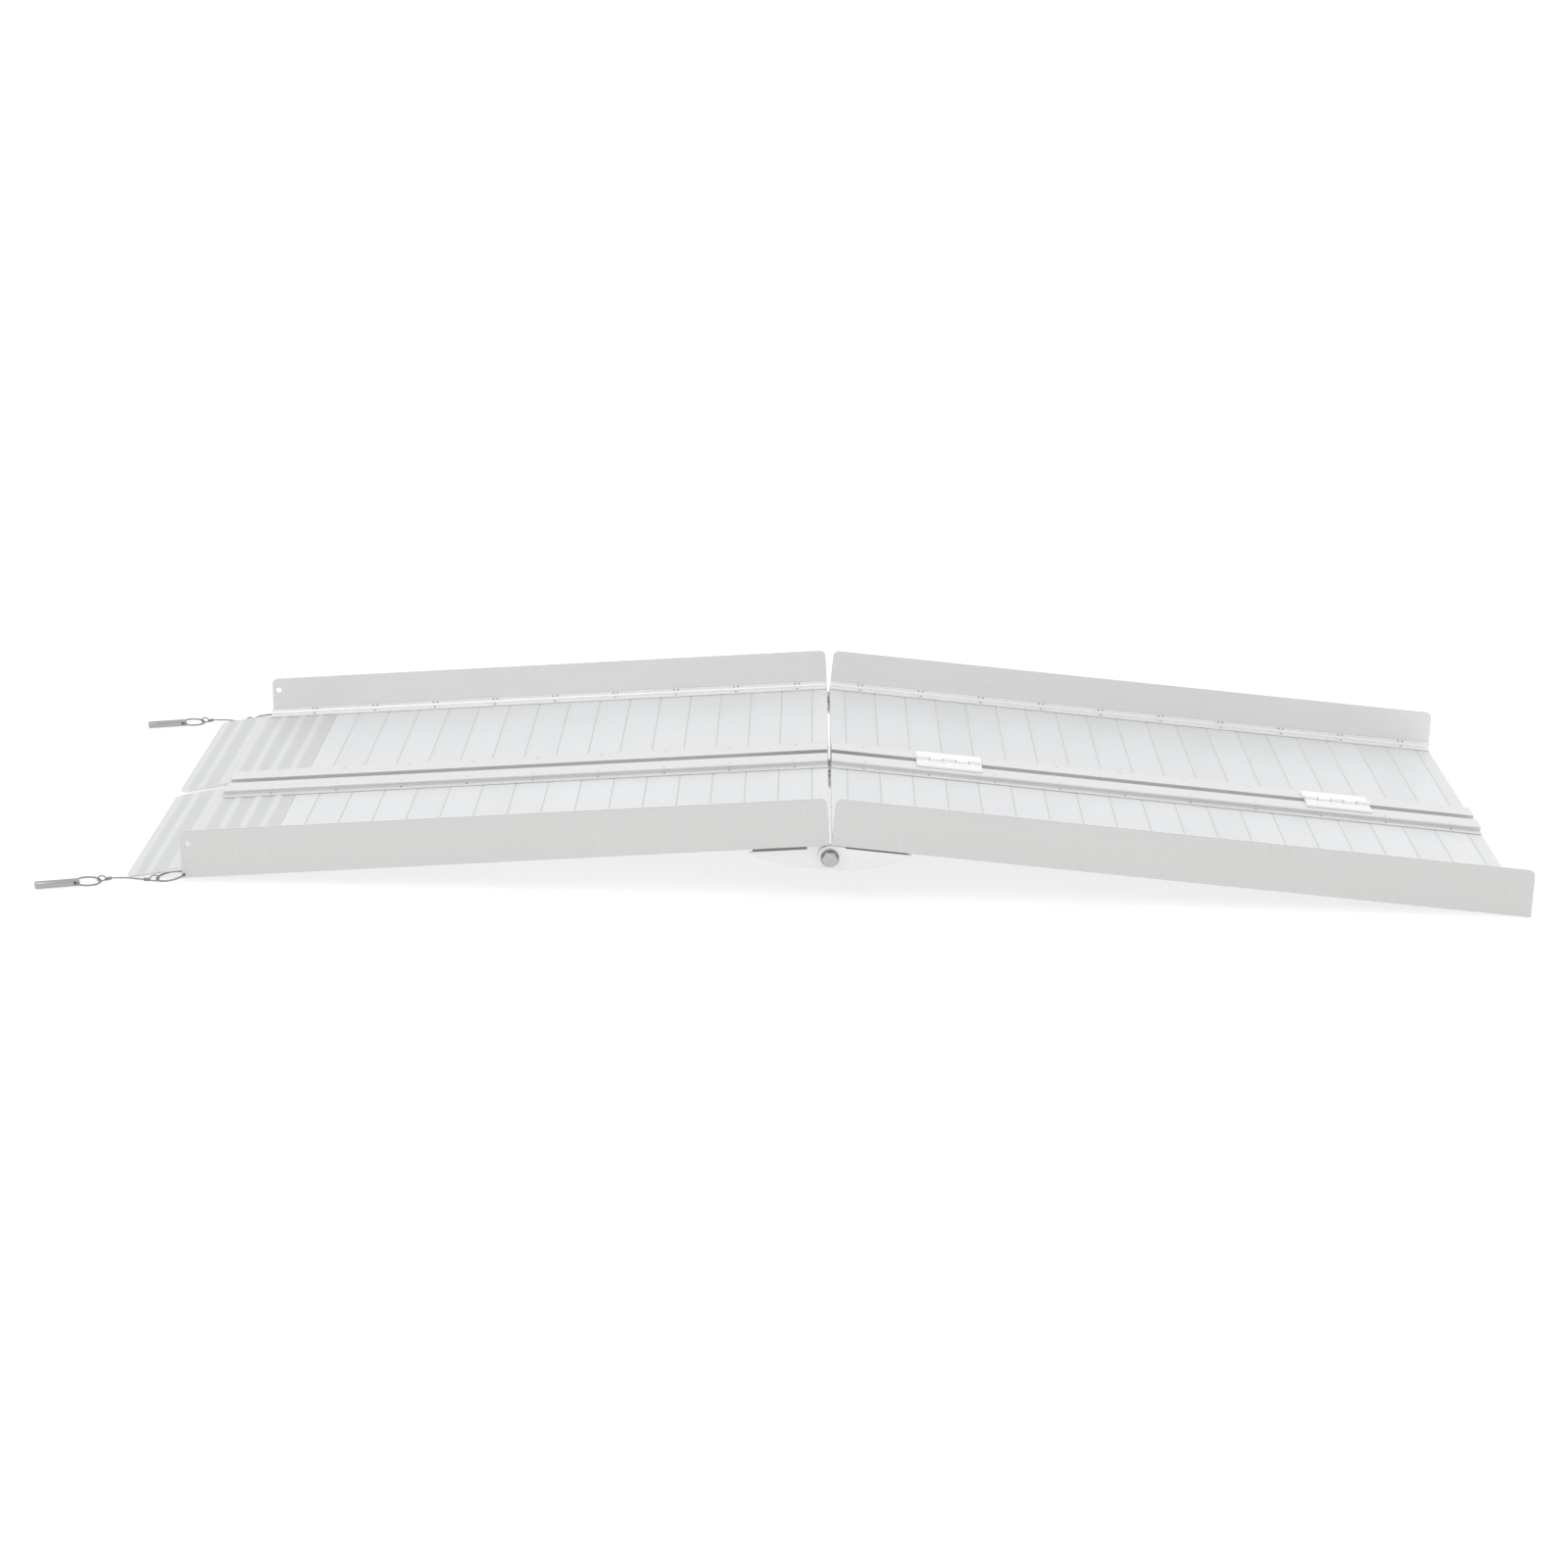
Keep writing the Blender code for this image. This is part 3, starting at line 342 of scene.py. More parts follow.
def lip_metal(name, tilt):
    """Lip plate, brushed across the ramp, with painted highlight bands on each ridge, at the bend and at the
    tip.
    """
    paint = Paint(name)
    where = paint.local(tilt)
    along = paint.math("MULTIPLY", paint.add("ShaderNodeSeparateXYZ", {"Vector": where}), -1000.0)
    waver = paint.noise(where, (12, 12, 12), detail=2.0)
    along = paint.math("ADD", along, paint.spread(waver, 0.3, 0.7, -0.8, 0.8))
    # Painted highlight: lighter bands on each ridge, at the bend and at the tip.
    highlight_bands = 0.0
    for middle in LIP_HIGHLIGHTS:
        away = paint.math("ABSOLUTE", paint.math("SUBTRACT", along, float(middle)))
        highlight_bands = paint.math("MAXIMUM", highlight_bands, paint.spread(away, 2.5, 8.0, 1.0, 0.0))
    lines = paint.noise(where, (320, 4, 4), detail=4.0, rough=0.7)
    fine = paint.noise(where, (1500, 12, 24), detail=2.0)
    clouds = paint.noise(where, (8, 6, 8), detail=4.0)
    level = paint.math("ADD", paint.math("MULTIPLY", lines, 0.6), paint.math("MULTIPLY", clouds, 0.4))
    level = paint.spread(level, 0.3, 0.7, 0.0, 1.0)
    flat = paint.mix(level, shade(0.828, -0.008), shade(0.842, -0.008))
    wear_and_highlight = paint.mix(level, shade(0.878, -0.008), shade(0.892, -0.008))
    scratch = paint.spread(paint.noise(where, (18, 150, 18), detail=2.0), 0.68, 0.74, 0.0, 0.4)
    base = paint.mix(highlight_bands, flat, wear_and_highlight)
    base = paint.mix(paint.math("MULTIPLY", scratch, 0.3), base, shade(0.94))
    rough = paint.spread(paint.math("ADD", fine, clouds), 0.6, 1.4, 0.36, 0.50)
    normal = paint.bump(paint.math("ADD", fine, lines), 0.00006, 0.35)
    paint.set(paint.shader, {"Base Color": base, "Roughness": rough, "Metallic": 0.5, "Normal": normal})
    return paint.material


def edge_metal(name, colour, metallic=0.6):
    """Corners, patchy and smoother than the faces they join, in a given colour: rubbed metal when light, a
    painted shade outline when dark.
    """
    paint = Paint(name)
    where = paint.local(0.0)
    patches = paint.noise(where, (60, 60, 60), detail=3.0)
    wear_and_highlight = paint.spread(patches, 0.35, 0.65, 0.0, 1.0)
    base = paint.mix(wear_and_highlight, scaled(colour, 0.94), scaled(colour, 1.06))
    rough = paint.spread(wear_and_highlight, 0.0, 1.0, 0.38, 0.24)
    normal = paint.bump(patches, 0.00005, 0.3)
    paint.set(paint.shader, {"Base Color": base, "Roughness": rough, "Metallic": metallic, "Normal": normal})
    return paint.material


TILT = {"left": -TENT, "right": TENT}
LOOKS = {}
for side_name, side_tilt in TILT.items():
    # The rails' inner faces are painted lighter than their outer ones: painted light.
    LOOKS["rail", side_name] = metal(f"rail_metal_{side_name}", shade(0.805, 0.008), 0.42, side_tilt,
                                     grain=(2, 60, 160), streak=0.02, metallic=0.4, inner=shade(0.885, 0.004))
    LOOKS["strip", side_name] = metal(f"strip_metal_{side_name}", shade(0.935, 0.004), 0.30, side_tilt,
                                      grain=(2, 300, 300), streak=0.025, metallic=0.5)
    LOOKS["channel", side_name] = metal(f"channel_metal_{side_name}", shade(0.872, 0.006), 0.36, side_tilt,
                                        grain=(2, 260, 260), streak=0.03, metallic=0.2)
    # The right deck is painted a lower tone than the left: painted shade on the same planks.
    LOOKS["deck", side_name] = plank_metal(f"plank_metal_{side_name}", side_tilt,
                                           0.900 if side_name == "left" else 0.882)
    LOOKS["plate", side_name] = metal(f"plate_metal_{side_name}", shade(0.895, 0.006), 0.38, side_tilt,
                                      grain=(60, 60, 8), streak=0.04, metallic=0.5)
LOOKS["lip"] = lip_metal("lip_metal", -TENT)
LOOKS["groove"] = metal("groove_metal", shade(0.80, -0.008), 0.5, grain=(5, 220, 5), streak=0.02,
                        metallic=0.1)
# Painted shade: the channel side facing the other track is darker, as the shade in the gap.
LOOKS["web"] = metal("web_painted_shade", shade(0.78, 0.006), 0.5, grain=(2, 200, 200), streak=0.05, metallic=0.5)
# The near leaf is painted darker than the far one: painted shade on a copy of the same hinge metal.
for track_name, leaf_lit_and_shaded_tone in {"near": 0.935, "far": 0.985}.items():
    LOOKS["leaf", track_name] = metal(f"leaf_metal_{track_name}", shade(leaf_lit_and_shaded_tone), 0.34, TENT,
                                      grain=(4, 220, 120), streak=0.015, metallic=0.25)
# Painted shade: a dark look for the set-back tabs of the hinge plates, as the shade under the rails.
LOOKS["recess"] = metal("recess_painted_shade", shade(0.48, 0.004), 0.5, grain=(8, 60, 60), streak=0.12,
                        metallic=0.5)
LOOKS["washer"] = metal("washer_metal", shade(0.60, -0.004), 0.34, grain=(140, 140, 140), streak=0.08)
LOOKS["zinc"] = metal("zinc_metal", shade(0.72, -0.004), 0.30, grain=(110, 110, 110), streak=0.10)
LOOKS["rivet"] = metal("rivet_metal", shade(0.84), 0.30, grain=(200, 200, 200), streak=0.06, metallic=0.8)
# Painted shade: a darker copy of the rivet metal, for rivets under the beads and on the ledges.
LOOKS["dark_rivet"] = metal("dark_rivet_metal", shade(0.60), 0.40, grain=(200, 200, 200), streak=0.10,
                            metallic=0.8)
LOOKS["chrome"] = metal("chrome_metal", shade(0.68), 0.14, grain=(40, 160, 160), streak=0.04)
LOOKS["steel"] = metal("steel_metal", shade(0.56), 0.26, grain=(200, 200, 200), streak=0.12)
LOOKS["wire"] = metal("wire_metal", shade(0.60), 0.34, grain=(300, 300, 300), streak=0.15)
LOOKS["crimp"] = metal("crimp_metal", shade(0.54), 0.36, grain=(260, 260, 260), streak=0.12, metallic=0.8)
# Painted shade: the dark corner look draws a shaded outline along the corners.
LOOKS["edge"] = edge_metal("edge_painted_shade", shade(0.52))
LOOKS["light_edge"] = edge_metal("bright_edge", shade(0.93))


# ---------------------------------------------------------------- mesh tools

def new_piece(name, work, body, look):
    """Object from a bmesh, riding on a body. Materials: one look, or several."""
    mesh = bpy.data.meshes.new(name)
    bmesh.ops.recalc_face_normals(work, faces=work.faces)
    work.to_mesh(mesh)
    work.free()
    for stale in [a.name for a in mesh.attributes if a.name == "custom_normal"]:
        mesh.attributes.remove(mesh.attributes[stale])
    looks = look if isinstance(look, (list, tuple)) else [look]
    for item in looks:
        mesh.materials.append(item)
    piece = bpy.data.objects.new(name, mesh)
    bpy.context.scene.collection.objects.link(piece)
    mesh.shade_smooth()
    mesh.set_sharp_from_angle(angle=SHARP_ANGLE)
    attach(piece, body)
    return piece


def revolve(work, rings, steps, matrix, closed=False):
    """Add a surface of revolution about the matrix's Z. Rings are (radius, height); zero is a pole."""
    loops = []
    for radius, height in rings:
        count = 1 if radius == 0 else steps
        loops.append([work.verts.new(matrix @ Vector((radius * math.cos(math.tau * i / steps),
                                                      radius * math.sin(math.tau * i / steps), height)))
                      for i in range(count)])
    pairs = list(zip(loops, loops[1:]))
    if closed:
        pairs.append((loops[-1], loops[0]))
    for one, two in pairs:
        skin(work, one, two, steps)


def turned(work, profile, steps, matrix):
    """Revolve a profile that is given in millimetres."""
    revolve(work, [(radius * MM, height * MM) for radius, height in profile], steps, matrix)


def skin(work, one, two, steps):
    """Faces between two loops of vertices; a loop of one vertex is a pole."""
    for i in range(steps):
        k = (i + 1) % steps
        corners = [one[i % len(one)], one[k % len(one)], two[k % len(two)], two[i % len(two)]]
        unique = list(dict.fromkeys(corners))
        if len(unique) > 2:
            work.faces.new(unique)


def sweep(work, points, section, closed=False):
    """Add a tube along points. section(i) gives the loop (angle, radius) at point i, twist included."""
    count = len(points)
    loops = []
    side = None
    for i, point in enumerate(points):
        ahead = points[(i + 1) % count] if closed else points[min(i + 1, count - 1)]
        behind = points[i - 1] if closed else points[max(i - 1, 0)]
        along = (ahead - behind).normalized()
        side = Vector((0, 0, 1)) if side is None else side
        side = (side - along * side.dot(along)).normalized()
        other = along.cross(side)
        loops.append([work.verts.new(point + (side * math.cos(a) + other * math.sin(a)) * r)
                      for a, r in section(i)])
    pairs = list(zip(loops, loops[1:]))
    if closed:
        pairs.append((loops[-1], loops[0]))
    for one, two in pairs:
        skin(work, one, two, len(one))
    if not closed:
        work.faces.new(loops[0])
        work.faces.new(loops[-1])


def smooth_path(route, count):
    """Evenly spaced points of a Catmull-Rom curve through the route, as in the CAD."""
    ends = [2 * route[0] - route[1], *route, 2 * route[-1] - route[-2]]
    dense = []
    for k in range(len(route) - 1):
        a, b, c, d = ends[k:k + 4]
        for i in range(20):
            t = i / 20
            dense.append(0.5 * (2 * b + (c - a) * t + (2 * a - 5 * b + 4 * c - d) * t ** 2
                                + (3 * b - a - 3 * c + d) * t ** 3))
    dense.append(route[-1])
    lengths = [0.0]
    for a, b in zip(dense, dense[1:]):
        lengths.append(lengths[-1] + (b - a).length)
    points = []
    for i in range(count):
        target = lengths[-1] * i / (count - 1)
        k = max(j for j in range(len(dense) - 1) if lengths[j] <= target + 1e-9)
        points.append(dense[k].lerp(dense[k + 1], (target - lengths[k]) / (lengths[k + 1] - lengths[k])))
    return points


def carved(one, two, operation):
    """Boolean of two bmeshes, as a new bmesh."""
    objects = []
    for k, work in enumerate((one, two)):
        bmesh.ops.recalc_face_normals(work, faces=work.faces)
        mesh = bpy.data.meshes.new(f"carving_{k}")
        work.to_mesh(mesh)
        work.free()
        item = bpy.data.objects.new(f"carving_{k}", mesh)
        bpy.context.scene.collection.objects.link(item)
        objects.append(item)
    modifier = objects[0].modifiers.new("carve", "BOOLEAN")
    modifier.operation = operation
    modifier.solver = "EXACT"
    modifier.object = objects[1]
    bpy.context.view_layer.update()
    shape = objects[0].evaluated_get(bpy.context.evaluated_depsgraph_get())
    result = bmesh.new()
    result.from_mesh(shape.to_mesh())
    shape.to_mesh_clear()
    for item in objects:
        mesh = item.data
        bpy.data.objects.remove(item, do_unlink=True)
        bpy.data.meshes.remove(mesh)
    return result


def even_shading(piece):
    even = piece.modifiers.new("even_shading", "WEIGHTED_NORMAL")
    even.keep_sharp = True


def rounded(node, body, look, width, segments=2, sharp=32, accent=None, edge="edge", adjust=None):
    """A CAD node's shape with its outward corners rounded. It stands for the node.

    The accent is a test of a face and the look of the faces that pass it. adjust changes the bmesh first.
    """
    work = bmesh.new()
    work.from_mesh(frame["nodes"][node].data)
    bmesh.ops.remove_doubles(work, verts=work.verts, dist=WELD)
    bmesh.ops.dissolve_limit(work, angle_limit=FLAT_ANGLE, verts=work.verts, edges=work.edges)
    if adjust:
        adjust(work)
        work.normal_update()
    corners = [e for e in work.edges
               if len(e.link_faces) == 2 and e.is_convex and e.calc_face_angle() > math.radians(sharp)]
    for face in work.faces:
        face.material_index = 2 if accent and accent[0](face) else 0
    bmesh.ops.bevel(work, geom=corners, offset=width, offset_type="OFFSET", segments=segments,
                    profile=0.5, affect="EDGES", clamp_overlap=True, material=1)
    looks = [look, LOOKS[edge]]
    if accent:
        looks.append(accent[1])
    piece = new_piece(node + "_finished", work, body, looks)
    even_shading(piece)
    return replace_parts(piece, node)


# ---------------------------------------------------------------- lanyards

def from_wall(track, point):
    """Row-frame point of a lanyard place, given in millimetres from the middle of the rail's wall."""
    return Vector((point[0] * MM, WALL_MIDDLE[track] + point[1] * MM, point[2] * MM))


def turned_by(degrees):
    x, y, z = (math.radians(value) for value in degrees)
    return Matrix.Rotation(z, 4, "Z") @ Matrix.Rotation(y, 4, "Y") @ Matrix.Rotation(x, 4, "X")


def build_ring(name, node, track, data):
    """A round wire ring with a fine butt joint in it."""
    centre, radius, turn = data
    matrix = Matrix.Translation(from_wall(track, centre)) @ turned_by(turn)
    joint = math.radians(0.6)
    steps = 120
    points = []
    for i in range(steps + 1):
        angle = math.radians(100) + joint + (math.tau - 2 * joint) * i / steps
        points.append(matrix @ Vector((radius * MM * math.cos(angle), radius * MM * math.sin(angle), 0)))
    work = bmesh.new()
    sizes = [0.82] + [1.0] * (steps - 1) + [0.82]
    sweep(work, points, lambda i: [(math.tau * k / 16, RING_WIRE * sizes[i]) for k in range(16)])
    piece = new_piece(name, work, f"{track}_left", LOOKS["steel"])
    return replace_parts(piece, node)


def strand_section(points, radius, lay_length, strands=6):
    """Section of a twisted wire rope: round strands that turn about the middle."""
    places = [0.0]
    for a, b in zip(points, points[1:]):
        places.append(places[-1] + (b - a).length)
    steps = strands * 6

    def section(i):
        twist = math.tau * places[i] / lay_length
        loop = []
        for k in range(steps):
            angle = math.tau * k / steps
            lobe = abs(math.cos(strands / 2 * angle))
            loop.append((angle + twist, radius * (0.84 + 0.16 * lobe)))
        return loop
    return section


def build_eye(name, node, track, data):
    """A loop of wire rope round a ring, closed by a crimped sleeve."""
    place_mm, heading = data
    matrix = Matrix.Translation(from_wall(track, place_mm)) @ turned_by((0, 0, heading))
    route = [matrix @ Vector((x * MM, y * MM, z * MM)) for x, y, z in EYE_ROUTE]
    points = smooth_path(route, 90)
    work = bmesh.new()
    sweep(work, points, strand_section(points, 0.95 * MM, 7 * MM))
    lie = matrix @ Matrix.Translation(SLEEVE_PLACE) @ Matrix.Rotation(math.pi / 2, 4, "Y")
    sleeve = bmesh.new()
    turned(sleeve, SLEEVE, 32, lie)
    for face in sleeve.faces:
        face.material_index = 1
    merge(work, sleeve)
    piece = new_piece(name, work, f"{track}_left", [LOOKS["wire"], LOOKS["crimp"]])
    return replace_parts(piece, node)


def merge(work, other):
    """Add another bmesh's faces, with their materials, and free it."""
    mesh = bpy.data.meshes.new("merging")
    other.to_mesh(mesh)
    other.free()
    work.from_mesh(mesh)
    bpy.data.meshes.remove(mesh)


def build_pin(name, node, track):
    """A polished pin lying on the floor, bored across near its end for its ring."""
    place_mm, heading = PIN_BORE
    stand = Matrix.Translation(from_wall(track, place_mm)) @ turned_by((0, 0, heading))
    lie = stand @ Matrix.Rotation(-math.pi / 2, 4, "Y")
    shaft = bmesh.new()
    turned(shaft, PIN_SHAFT, 64, lie)
    bore = bmesh.new()
    across = stand @ Matrix.Rotation(math.pi / 2, 4, "X")
    turned(bore, CROSS_BORE, 28, across)
    piece = new_piece(name, carved(shaft, bore, "DIFFERENCE"), f"{track}_left", LOOKS["chrome"])
    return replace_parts(piece, node)


def build_lanyard(track):
    body = f"{track}_left"
    rings = [build_ring(f"anchor_ring_round_{track}", f"anchor_ring_{track}", track, ANCHOR_RING),
             build_ring(f"pin_ring_round_{track}", f"pin_ring_{track}", track, PIN_RING)]
    eyes = [build_eye(f"eye_at_rail_{track}", f"crimped_eye_{track}_anchor", track, ANCHOR_EYE),
            build_eye(f"eye_at_pin_{track}", f"crimped_eye_{track}_pin", track, PIN_EYE)]
    build_pin(f"pin_polished_{track}", f"security_pin_{track}", track)

    route = [from_wall(track, point) for point in WIRE_ROUTE]
    points = smooth_path(route, 150)
    work = bmesh.new()
    sweep(work, points, strand_section(points, WIRE_DIAMETER / 2, 8 * MM))
    rope = new_piece(f"lanyard_rope_{track}", work, body, LOOKS["wire"])
    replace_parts(rope, f"lanyard_wire_{track}")


for track_name in TRACKS:
    build_lanyard(track_name)


# ---------------------------------------------------------------- extrusions and plates

def height_in_section(side, point):
    """w of a point."""
    return SIDES[side] * point.x * math.sin(TENT) + (point.z - FOLD_Z) * math.cos(TENT)


def shaded_recess_test(track, edge, side):
    """Outward faces of a hinge plate's tab, which is set back behind the lens-shaped part. They are painted
    dark: painted shade of the gap under the rail.
    """
    outwards = TRACKS[track] if edge == "outer" else -TRACKS[track]

    def test(face):
        high = height_in_section(side, face.calc_center_median()) > TAB_FOOT
        return high and face.normal.y * outwards > SIDEWAYS
    return test


def groove_test(side):
    """Sloping faces of the grooves between planks."""
    up = upwards(side)
    return lambda face: 0.3 < face.normal.dot(up) < 0.95


def fill_grooves(side):
    """Worn grooves: their bottoms are raised by half their depth."""
    up = upwards(side)
    least, most = GROOVE_DEPTHS

    def adjust(work):
        for vertex in work.verts:
            depth = DECK_TOP - height_in_section(side, vertex.co)
            if least < depth < most:
                vertex.co += up * depth * 0.5
    return adjust


def shaded_web_test(face):
    """The side of an inner channel that faces the other track: painted darker, as the shade in the gap
    between the tracks.
    """
    middle = face.calc_center_median()
    return abs(face.normal.y) > SIDEWAYS and abs(middle.y) < TRACK_EDGE + 0.5 * MM


def build_section(track, side):
    body = f"{track}_{side}"
    rounded(f"side_rail_{body}", body, LOOKS["rail", side], 0.7 * MM)
    rounded(f"rail_strip_{body}", body, LOOKS["strip", side], 0.25 * MM, sharp=50,
            edge="light_edge")
    rounded(f"deck_{body}", body, LOOKS["deck", side], 0.2 * MM, sharp=80, edge="light_edge",
            accent=(groove_test(side), LOOKS["groove"]), adjust=fill_grooves(side))
    rounded(f"inner_channel_{body}", body, LOOKS["channel", side], 0.3 * MM, sharp=50,
            edge="light_edge", accent=(shaded_web_test, LOOKS["web"]))
    for edge in EDGES:
        rounded(f"hinge_plate_{track}_{edge}_{side}", body, LOOKS["plate", side],
                0.7 * MM, accent=(shaded_recess_test(track, edge, side), LOOKS["recess"]))


for track_name in TRACKS:
    for side_name in SIDES:
        build_section(track_name, side_name)
    rounded(f"lip_plate_{track_name}", f"{track_name}_left", LOOKS["lip"], 0.4 * MM, sharp=60,
            edge="light_edge")


# ---------------------------------------------------------------- fold bolts

def on_axis(track, edge):
    """Z points inwards along the fold axis, from the track's edge."""
    inwards = -TRACKS[track] if edge == "outer" else TRACKS[track]
    start = HALF_WIDTH if edge == "outer" else TRACK_EDGE
    foot = Matrix.Translation((0, TRACKS[track] * start, FOLD_Z))
    return foot @ Matrix.Rotation(-inwards * math.pi / 2, 4, "X")


def hex_prism(low, high, matrix):
    work = bmesh.new()
    revolve(work, [(0, low), (BOLT_CORNER, low), (BOLT_CORNER, high), (0, high)], 6, matrix)
    return work


def threads(low, high):
    """Rings of a thread between two heights."""
    rings = []
    height = low
    while height + THREAD_PITCH <= high:
        rings += [(BOLT_RADIUS, height + 0.1 * THREAD_PITCH),
                  (BOLT_RADIUS - THREAD_DEPTH, height + 0.5 * THREAD_PITCH),
                  (BOLT_RADIUS, height + 0.9 * THREAD_PITCH)]
        height += THREAD_PITCH
    return rings


def build_bolt(track, edge, matrix):
    """Hexagon bolt with a hollow in its head. Heights run inwards from the plates' outer face."""
    under = -WASHER_THICK - 0.3 * MM
    top = under - HEADS[edge]
    end = NUT_START + NUT_HEIGHT + 2 * MM
    work = bmesh.new()
    rings = [(0, top + 0.25 * MM), (3.2 * MM, top + 0.25 * MM), (3.7 * MM, top)]
    rings += [(BOLT_CORNER - 1.5 * MM, top), (BOLT_CORNER - 0.5 * MM, top + 0.6 * MM)]
    rings += [(BOLT_CORNER, top + 1.2 * MM), (BOLT_CORNER, under - 0.5 * MM), (BOLT_CORNER - 0.6 * MM, under)]
    rings += [(BOLT_RADIUS + 0.2 * MM, under), (BOLT_RADIUS, under + 0.2 * MM)]
    rings += threads(NUT_START - 1 * MM, end - 0.8 * MM)
    rings += [(BOLT_RADIUS, end - 0.7 * MM), (BOLT_RADIUS - 1 * MM, end), (0, end)]
    revolve(work, rings, 72, matrix)
    shape = carved(work, hex_prism(top - MM, end + MM, matrix), "INTERSECT")
    bolt = new_piece(f"bolt_turned_{track}_{edge}", shape, f"{track}_right", LOOKS["zinc"])
    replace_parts(bolt, f"hinge_bolt_{track}_{edge}")


def build_washer(track, edge, matrix):
    inner = BOLT_RADIUS + 0.2 * MM
    work = bmesh.new()
    rings = [(inner, 0), (inner, -WASHER_THICK + 0.2 * MM), (inner + 0.2 * MM, -WASHER_THICK)]
    rings += [(WASHER_RADIUS - 0.5 * MM, -WASHER_THICK), (WASHER_RADIUS, -WASHER_THICK + 0.5 * MM)]
    rings += [(WASHER_RADIUS, -0.2 * MM), (WASHER_RADIUS - 0.2 * MM, 0)]
    revolve(work, rings, 72, matrix, closed=True)
    washer = new_piece(f"washer_round_{track}_{edge}", work, f"{track}_right", LOOKS["washer"])
    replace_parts(washer, f"hinge_washer_{track}_{edge}")


def build_nut(track, edge, matrix):
    inner = BOLT_RADIUS + 0.2 * MM
    face = NUT_START + NUT_HEIGHT
    work = bmesh.new()
    rings = [(inner, NUT_START), (BOLT_CORNER - 0.8 * MM, NUT_START), (BOLT_CORNER, NUT_START + 0.5 * MM)]
    rings += [(BOLT_CORNER, face - 1.2 * MM), (BOLT_CORNER - 1.5 * MM, face), (inner + 0.5 * MM, face)]
    rings += [(inner, face - 0.4 * MM)]
    revolve(work, rings, 72, matrix, closed=True)
    shape = carved(work, hex_prism(NUT_START - MM, face + MM, matrix), "INTERSECT")
    nut = new_piece(f"nut_turned_{track}_{edge}", shape, f"{track}_right", LOOKS["zinc"])
    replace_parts(nut, f"hinge_nut_{track}_{edge}")


for track_name in TRACKS:
    for edge_name in EDGES:
        fold_axis = on_axis(track_name, edge_name)
        build_bolt(track_name, edge_name, fold_axis)
        build_washer(track_name, edge_name, fold_axis)
        build_nut(track_name, edge_name, fold_axis)


# ---------------------------------------------------------------- leaf hinges

def build_leaf_hinge(number, start, length):
    for track in TRACKS:
        rounded(f"leaf_hinge_{number}_{track}", f"{track}_right", LOOKS["leaf", track],
                0.35 * MM, segments=3, sharp=50, edge="light_edge")
    node = f"leaf_hinge_{number}_pin"
    matrix = Matrix.Translation(place("right", start + MM, 0, KNUCKLE_AXIS)) @ section_axes("right")
    matrix @= Matrix.Rotation(math.pi / 2, 4, "Y")
    last = length - 2 * MM
    rings = [(0, 0), (0.8 * MM, 0), (1.2 * MM, 0.15 * MM), (1.4 * MM, 0.5 * MM)]
    rings += [(1.4 * MM, last - 0.5 * MM), (1.2 * MM, last - 0.15 * MM), (0.8 * MM, last), (0, last)]
    work = bmesh.new()
    revolve(work, rings, 24, matrix)
    pin = new_piece(node + "_turned", work, "near_right", LOOKS["zinc"])
    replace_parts(pin, node)


for leaf_number, (leaf_start, leaf_length) in LEAVES.items():
    build_leaf_hinge(leaf_number, leaf_start, leaf_length)


# ---------------------------------------------------------------- rivets

def dome(work, spot, normal, radius, height, flange=0.0):
    """A rivet head: a low dome, on a thin flange when one is given."""
    turn = normal.to_track_quat("Z", "Y").to_matrix().to_4x4()
    matrix = Matrix.Translation(spot) @ turn
    rings = [(0, height)]
    for k in range(1, 7):
        angle = math.pi / 2 * k / 6
        rings.append((radius * math.sin(angle), height * math.cos(angle) + (0.1 * MM if k == 6 else 0)))
    if flange:
        rings += [(radius + flange, 0.12 * MM)]
    rings += [(radius + flange, -0.4 * MM), (0, -0.4 * MM)]
    revolve(work, rings, 20, matrix)


def rivet_places(side):
    """u of the rivets: at every other plank."""
    limit = LEFT_END if side == "left" else PLANKS * PITCH
    return [k * PITCH for k in range(1, PLANKS, 2) if k * PITCH < limit - END_MARGIN]


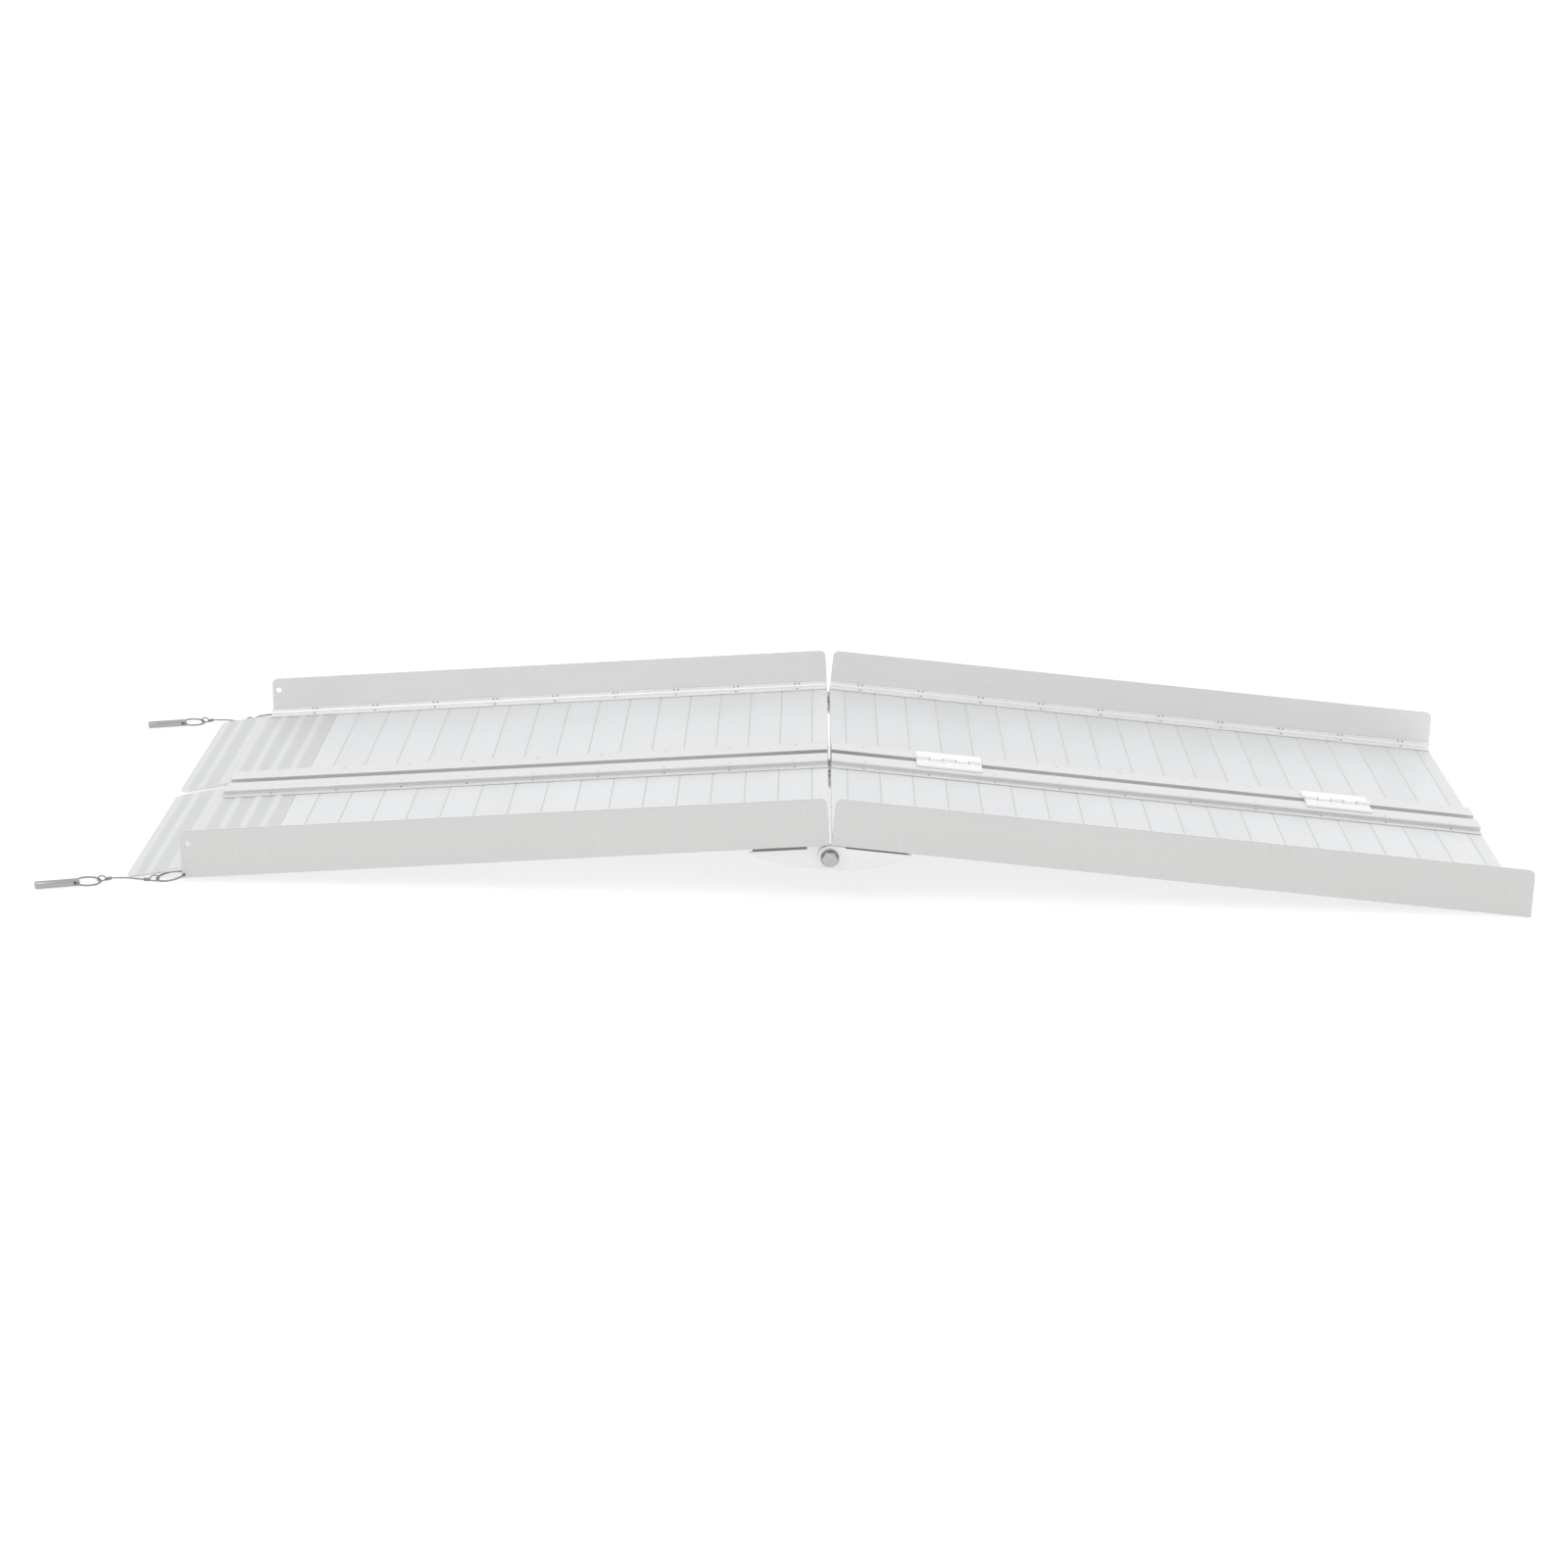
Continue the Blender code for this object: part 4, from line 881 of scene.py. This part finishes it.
def build_rivets(track, side):
    body = f"{track}_{side}"
    sign = TRACKS[track]
    up = upwards(side)
    inwards = Vector((0, -sign, 0))
    jitter = random.Random(f"rivets {body}")
    bright = bmesh.new()
    # Pair, strip and foot rivets take the darker, painted-shade copy of the rivet metal.
    dark = bmesh.new()
    for u in rivet_places(side):
        shift = jitter.uniform(-0.6, 0.6) * MM
        bead = sign * (HALF_WIDTH - PAIR_DEPTH)
        for offset in (-PAIR_OFFSET, PAIR_OFFSET):
            spot = place(side, u + shift + offset * MM, bead, PAIR_HEIGHT)
            dome(dark, spot, inwards, 1.2 * MM, 0.8 * MM)
        strip = sign * (HALF_WIDTH - STRIP_RIVET_DEPTH)
        dome(dark, place(side, u + shift, strip, LEDGE_TOP), up, 1.7 * MM, 0.9 * MM)
        hem = sign * (TRACK_EDGE + HEM_RIVET_DEPTH)
        dome(bright, place(side, u + shift, hem, HEM_TOP), up, 1.9 * MM, 1.2 * MM, 0.5 * MM)
        foot = sign * (TRACK_EDGE + FOOT_RIVET_DEPTH)
        dome(dark, place(side, u + shift, foot, LEDGE_TOP), up, 1.7 * MM, 0.9 * MM)
    new_piece(f"hem_rivets_{body}", bright, body, LOOKS["rivet"])
    new_piece(f"strip_rivets_{body}", dark, body, LOOKS["dark_rivet"])


def build_leaf_rivets():
    up = upwards("right")
    for track, sign in TRACKS.items():
        work = bmesh.new()
        for start, length in LEAVES.values():
            for along, depth in LEAF_RIVETS:
                spot = place("right", start + along * length, sign * depth * MM, LEAF_TOP)
                dome(work, spot, up, 2.7 * MM, 1.3 * MM, 0.3 * MM)
        # All leaf rivets take the far leaf's look, without the near leaf's painted shade.
        new_piece(f"leaf_rivets_{track}", work, f"{track}_right", LOOKS["leaf", "far"])


for track_name in TRACKS:
    for side_name in SIDES:
        build_rivets(track_name, side_name)
build_leaf_rivets()


# ---------------------------------------------------------------- floor

def make_floor():
    mesh = bpy.data.meshes.new("floor")
    reach = 40.0
    mesh.from_pydata([(-reach, -reach, 0), (reach, -reach, 0), (reach, reach, 0), (-reach, reach, 0)],
                     [], [(0, 1, 2, 3)])
    floor = bpy.data.objects.new("floor", mesh)
    bpy.context.scene.collection.objects.link(floor)
    paint = Paint("floor_paper")
    where = paint.add("ShaderNodeTexCoord", output=3)
    tooth = paint.noise(where, (3, 3, 3), detail=2.0)
    paint.set(paint.shader, {"Base Color": paint.mix(tooth, (0.40, 0.40, 0.40), (0.42, 0.42, 0.42)),
                             "Roughness": 0.9, "Emission Color": (1.0, 1.0, 1.0),
                             "Emission Strength": 0.63})
    mesh.materials.append(paint.material)


make_floor()
